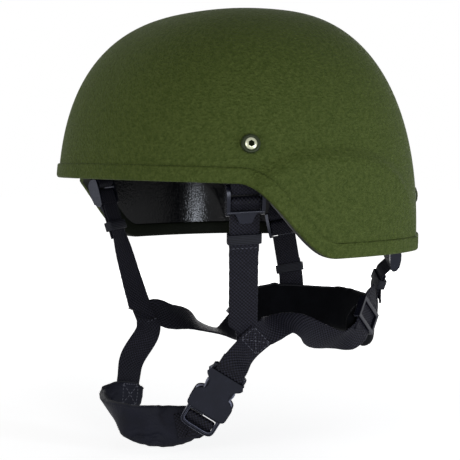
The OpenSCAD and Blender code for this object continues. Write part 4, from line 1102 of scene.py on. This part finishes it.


# Two face plates capped by ladders of quads, each with a side wall, and the frame round the slot.
# The rows at the plates' borders are paler: partly wear from straps and fingers, partly a painted highlight.
skins, marks = [], []
for side in (-1, 1):
    rings = [
        [in_frame(buckle_frame, p.x + n.x * inset, y * side, p.z + n.z * inset) for p, n in zip(edge, inward)]
        for y, inset in plate_rows]
    plate, plate_faces = loft(rings, caps=False)
    for first in (0, (len(plate_rows) - 1) * edge_n):
        last = first + edge_n - 1
        plate_faces += [(first + i, first + i + 1, last - i - 1, last - i) for i in range(half_n - 1)]
    skins.append((plate, plate_faces))
    marks += [1 if i // edge_n in (2, 3, 4) else 0 for i in range(len(plate_faces))]
    skins.append(loft([
        [in_frame(buckle_frame, (x - slim if x > 11 else x) * side, y, z) for x, y in wall_section]
        for z, slim in wall_rows]))
    marks += [0] * len(skins[-1][1])
rings = []
for turn in range(0, 360, 3):
    c, s = cos(turn), sin(turn)
    far = Vector((12.8 * signed_power(c, 0.36), 29.9 + 4.1 * signed_power(s, 0.36)))
    near = Vector((slot_half * signed_power(c, 0.2), slot_mid + slot_reach * signed_power(s, 0.2)))
    rings.append(frame_ring(far, near, (
        (0, -1.2), (0.08, -2), (0.25, -2.4), (0.8, -2.4), (1, -2), (1, 2), (0.8, 2.4), (0.25, 2.4), (0.08, 2),
        (0, 1.2))))
skins.append(loft(rings, caps=False, joined=True))
marks += [0] * len(skins[-1][1])
socket = make("buckle_socket_shell", *together(skins), moulded_acetal, worn_and_highlit_acetal, angle=40, marks=marks)
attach(socket, body_with["buckle_socket"])
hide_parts("buckle_socket")

# The plug's frame: a rounded rim with a ridge along each edge, and a round bar that holds the webbing
plug_bar_y, plug_bar_z, plug_bar_r = -0.8, -8.6, 1.3
rings = []
for i in range(160):
    c, s = cos(2.25 * i), sin(2.25 * i)
    far_power, near_power = (0.5, 0.36) if s < 0 else (0.14, 0.14)
    far = Vector((13 * signed_power(c, far_power), -8.5 + 8.1 * signed_power(s, far_power)))
    near = Vector((slot_half * signed_power(c, near_power), plug_bar_z + 4.8 * signed_power(s, near_power)))
    rear = -2.6 + 2.4 * ease((-9.5 - near.y) / 2)
    rings.append(frame_ring(far, near, (
        (0, rear + 0.4), (0, 1.9), (0.05, 2.5), (0.16, 2.9), (0.3, 2.9), (0.4, 2.4), (0.56, 2.4), (0.66, 2.8),
        (0.84, 2.8), (0.95, 2.4), (1, 1.8), (1, rear + 0.4), (0.85, rear), (0.15, rear))))
bar = [
    [in_frame(buckle_frame, x, plug_bar_y + plug_bar_r * cos(15 * j), plug_bar_z + plug_bar_r * sin(15 * j))
     for j in range(24)]
    for x in (-10.8, 10.8)]
skins = [loft(rings, caps=False, joined=True), loft(bar)]
# The slopes of the two ridges are paler: partly rubbed wear, partly a painted highlight
marks = [1 if i % len(rings[0]) in (2, 6, 8) else 0 for i in range(len(skins[0][1]))] + [0] * len(skins[1][1])
plug = make("buckle_plug_frame", *together(skins), moulded_acetal, worn_and_highlit_acetal, angle=40, marks=marks)
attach(plug, body_with["buckle_plug"])
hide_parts("buckle_plug")

fr = buckle_frame
bar_y, bar_z = 2.4 + 0.5 + strap_t / 2, (slot_high + socket_h) / 2
path = [on_cheek(1, 13, -2, layer), on_cheek(1, 7, 3, layer), on_cheek(1, 1.5, 8, layer + 1.1)]
path += [in_frame(fr, 0, y, z) for y, z in (
    (bar_y, socket_h + 4), (bar_y, bar_z), (bar_y * 0.82, slot_mid), (0, slot_mid - 0.3),
    (-bar_y * 0.82, slot_mid), (-bar_y, bar_z), (-bar_y + 0.6, socket_h + 6))]
facing = [cheek_out(1)] * 3 + [fr[2], fr[2], turned(fr, 0, 0.7, -0.7), -fr[3]]
facing += [turned(fr, 0, -0.7, -0.7), -fr[2], -fr[2]]
buckle_webbing = webbing("buckle_strap_webbing", ribbon(path, facing))
patch = frame_on(path, facing, 0.75)
patch_thread = stitching("cheek_patch_thread", sewn_box(patch, 8.3, 6, strap_t / 2))
for piece in (buckle_webbing, patch_thread):
    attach(piece, body_with["buckle_strap"])
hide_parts("buckle_strap")

# The fold comes up in front of the plug's bar, turns over it and goes down behind
path = [in_frame(fr, 0, y, z) for y, z in (
    (-2.1, -16), (-1.75, -14), (-0.4, -12.4), (1.1, -10.8), (1.55, -8.6), (0.86, -6.94), (-0.8, -6.25),
    (-2.46, -6.94), (-3.15, -8.6), (-3.35, -12), (-3.5, -16))]
facing = [fr[2]] + [turned(fr, 0, y, z) for y, z in ((0.9, 0.3), (0.75, 0.65), (0.9, 0.4))]
facing += [fr[2], turned(fr, 0, 0.7, 0.7), fr[3], turned(fr, 0, -0.7, 0.7), -fr[2], -fr[2], -fr[2]]
plug_fold = webbing("plug_fold_webbing", ribbon(path, facing))
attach(plug_fold, body_with["plug_wrap"])
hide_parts("plug_wrap")

# The chin cup. A wide, soft band of doubled nylon cloth with a thin foam filling,
# hemmed on both edges and hung between the plug and the strap from the right cheek.
cup_h, cup_t = 32, 4
cup_path = [Vector(p) for p in (
    (-50, -57, -161), (-51, -72, -157.5), (-49, -88, -157), (-42, -94, -157.5), (-29, -102, -157),
    (-12, -108, -158), (5, -109, -161), (14.4, -96.3, -164.8), (20.1, -81.4, -167), (28.2, -69.8, -164.7),
    (33, -60, -161))]
cup_facing = [Vector(p) for p in (
    (-1, -0.1, 0), (-1, -0.2, 0), (-0.9, -0.45, -0.3), (-0.65, -0.6, -0.5), (-0.3, -0.75, -0.6),
    (0.1, -0.85, -0.5), (0.5, -0.85, -0.15), (0.75, -0.65, 0), (0.9, -0.4, 0), (0.95, -0.3, 0),
    (0.97, -0.2, 0))]
cup_widths = [cup_h * share for share in (0.5, 0.66, 0.6, 0.58, 0.58, 0.65, 0.8, 0.94, 1, 0.85, 0.5)]

# Coated nylon cloth: black, half matt, with soft puckers 10 to 30 mm long and a fine weave drawn at 1.2 mm.
nylon_cloth, tree = new_material("nylon_cloth")
spot = add(tree, "TexCoord", out="Object")
threads = add(tree, "TexVoronoi", {"Vector": spot, "Scale": 1 / 0.0012})
pucker = add(tree, "TexNoise", {"Vector": spot, "Scale": 1 / 0.018, "Detail": 2.0, "Distortion": 0.6})
pucker_height = add(tree, "Math", {0: pucker, 1: 7.0}, operation="MULTIPLY")
relief = add(tree, "Math", {0: pucker_height, 1: threads}, operation="ADD")
tone = add(tree, "Mix", {0: pucker, 6: linear("#06070b"), 7: linear("#1d1e2a")}, out=2, data_type="RGBA")
finish_material(tree, tone, relief, 0.5, 0.0005, {"Roughness": 0.6, "IOR": 1.53, "Specular IOR Level": 0.1})

points, faces = loft(soft_band(cup_path, cup_facing, cup_widths, cup_t, slim=0.4))
cup_cover = make("chin_cup_cover", points, faces, nylon_cloth)
stuff(cup_cover, 1.8, 0.8, smooth=1)
# The cloth lies in creases under the chin: each has its two ends, its level, its depth and its slope
creases = (
    (-108, -85, -173.3, 1.5, 0.05), (-100, -82, -176.6, 1.1, -0.08), (-110, -98, -169, 0.7, 0.2),
    (-93, -80, -160, 0.6, 0.5))
for vertex in cup_cover.data.vertices:
    p = vertex.co * 1000
    if vertex.normal.x * 0.75 - vertex.normal.y * 0.65 > 0.1:
        for first, last, level, depth, slope in creases:
            away = p.z - level - slope * (p.y - first) - 0.5 * math.sin(p.y * 0.6)
            pull = ease((p.y - first) / 6) * ease((last - p.y) / 6) * ease(1 - abs(away) / 2)
            vertex.co -= vertex.normal * (pull * depth * 0.001)
cup_hem = binding("chin_cup_hem", cup_cover, cup_path, cup_facing, cup_widths, 0.3, 9.7, 150, 0.7)
for piece in (cup_cover, cup_hem):
    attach(piece, body_with["chin_cup"])
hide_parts("chin_cup")

skin = BVHTree.FromObject(cup_cover, bpy.context.evaluated_depsgraph_get())
rows = []
for side in (-1, 1):
    line = []
    for i in range(61):
        t = 0.5 + 8.6 * i / 60
        fr = frame_on(cup_path, cup_facing, t)
        across = side * (curve(cup_widths, t) / 2 - 3)
        line.append((on_surface(skin, in_frame(fr, across, 12, 0), in_frame(fr, across, 0, 0)), fr[2]))
    rows += [(a[0] + a[1] * 0.1, b[0] + b[1] * 0.1, a[1]) for a, b in zip(line, line[1:])]
fr = frame_on(cup_path, cup_facing, 0.85)
inner_face = (fr[0], fr[1], -fr[2], fr[3])
box_rows = []
for a, b, out in sewn_box(inner_face, 7.6, 6.5, 0):
    line = [a.lerp(b, i / 6) for i in range(7)]
    line = [on_surface(skin, p + out * 12, p) + out * 0.15 for p in line]
    box_rows += [(p, q, out) for p, q in zip(line, line[1:])]
for name, sewn, radius, thread in (
        ("chin_cup_hem_thread", rows, 0.28, nylon_binding),
        ("chin_cup_box_thread", box_rows, 0.4, sewing_thread)):
    cup_thread = stitching(name, sewn, radius=radius, thread=thread)
    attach(cup_thread, body_with["chin_cup"])

cup_lift = cup_t / 2 + 0.15 + strap_t / 2
fr = buckle_frame
path = [in_frame(fr, 0, -5, -plug_h + 5), in_frame(fr, 0, -5.3, -plug_h - 2)]
for t, more in ((8.9, 0.4), (8.3, 0.2)):
    path.append(curve(cup_path, t) + curve(cup_facing, t).normalized() * (cup_lift + more))
facing = [fr[2], fr[2], curve(cup_facing, 8.9), curve(cup_facing, 8.3)]
chin_webbing = webbing("chin_strap_webbing", ribbon(path, facing, width=strap_w - 2))
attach(chin_webbing, body_with["chin_strap"])
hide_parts("chin_strap")

# The right chin strap. Webbing from the right cheek joint down to the far end of the cup,
# where it is sewn on with a stitched box.
land = frame_on(cup_path, cup_facing, 0.8)
start, knee = mirrored([on_cheek(-1, 3, 3, -layer), on_cheek(-1, -2, 13, -layer - 0.5)])
end = land[0] + land[2] * (cup_lift + 0.6)
side_out = mirrored([cheek_out(-1)])[0]
path = [start, knee, Vector((-57, -62, -132)), end + Vector((-0.3, 2, 12)), end - Vector((0, 1, 5))]
facing = [side_out] * 3 + [land[2]] * 2
right_webbing = webbing("right_chin_strap_webbing", ribbon(path, facing))
patch = frame_on(path, facing, 3.6)
joint = mirrored([
    on_cheek(-1, along, down, -layer - strap_t / 2)
    for along, down in ((-6, 5), (10, 4), (-6, 11), (10, 10))])
rows = sewn_box(patch, 8, 6.5, strap_t / 2)
rows += [(joint[0], joint[1], -side_out), (joint[2], joint[3], -side_out)]
right_thread = stitching("right_chin_strap_thread", rows)
for piece in (right_webbing, right_thread):
    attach(piece, body_with["right_chin_strap"])
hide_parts("right_chin_strap")

# The studio. A white sweep under and behind the helmet, a broad soft key light from the left, a weaker one
# from the right, a low cool strip that shows in the resin inside the shell, and a soft one from the rear.


def lamp(name, at, aim, wide, high, power):
    """A rectangular area light of that width and height, and power in watts."""
    light = bpy.data.lights.new(name, "AREA")
    light.shape, light.size, light.size_y, light.energy = "RECTANGLE", wide * 0.001, high * 0.001, power
    placed = bpy.data.objects.new(name, light)
    placed.location = Vector(at) * 0.001
    placed.rotation_euler = (Vector(at) - Vector(aim)).to_track_quat("Z", "Y").to_euler()
    bpy.context.scene.collection.objects.link(placed)
    return placed


lamp("key", looked_at + back * 900 - right * 950 - up * 20, (0, 0, 0), 600, 600, 6)
lamp("fill", looked_at + back * 1000 + right * 350 - up * 60, (0, 0, -30), 300, 300, 2.7)
lamp("strip", (620, 150, -95), (-60, 0, -20), 74, 140, 1.45).data.color = (0.84, 0.9, 1)
lamp("rear", (-800, 900, 150), (0, 60, -20), 700, 700, 4)


def white_for(tree):
    """1 for the rays that should meet plain white: the camera's, and those that metal and glass send out."""
    seen = 0.0
    for kind in ("Is Camera Ray", "Is Glossy Ray", "Is Transmission Ray"):
        ray = add(tree, "LightPath", out=kind)
        seen = add(tree, "Math", {0: seen, 1: ray}, operation="MAXIMUM")
    return seen


# The floor lies just under the plug at its lowest
floor_z = cad_box[0][2] * 1000 - 4.5
white_sweep, tree = new_material("white_sweep")
spot = add(tree, "TexCoord", out="Object")
away = add(tree, "VectorMath", {0: spot}, out="Value", operation="LENGTH")
far = add(tree, "MapRange", {
    "Value": away, "From Min": 0.25, "From Max": 0.9, "To Min": 0.72}, interpolation_type="SMOOTHSTEP")
seen = white_for(tree)
glow_share = add(tree, "Math", {0: seen, 1: far}, operation="MULTIPLY")
matt = add(tree, "BsdfDiffuse", {"Color": (0.92, 0.92, 0.92, 1)})
glow = add(tree, "Emission", {"Color": (1, 1, 1, 1), "Strength": glow_share})
add(tree, "OutputMaterial", {"Surface": add(tree, "AddShader", {0: matt, 1: glow})})
corners = [Vector((x * 4000, y * 4000, floor_z)) for x, y in ((-1, -1), (1, -1), (1, 1), (-1, 1))]
floor = make("floor", corners, [(0, 1, 2, 3)], white_sweep)

world = bpy.data.worlds.new("studio")
world.use_nodes = True
tree = world.node_tree
tree.nodes.clear()
seen = white_for(tree)
soft = add(tree, "Background", {"Color": (1, 1, 1, 1), "Strength": 0.16})
white = add(tree, "Background", {"Color": (1, 1, 1, 1), "Strength": 1.0})
add(tree, "OutputWorld", {"Surface": add(tree, "MixShader", {0: seen, 1: soft, 2: white})})
bpy.context.scene.world = world
bpy.context.scene.view_settings.view_transform = "Standard"
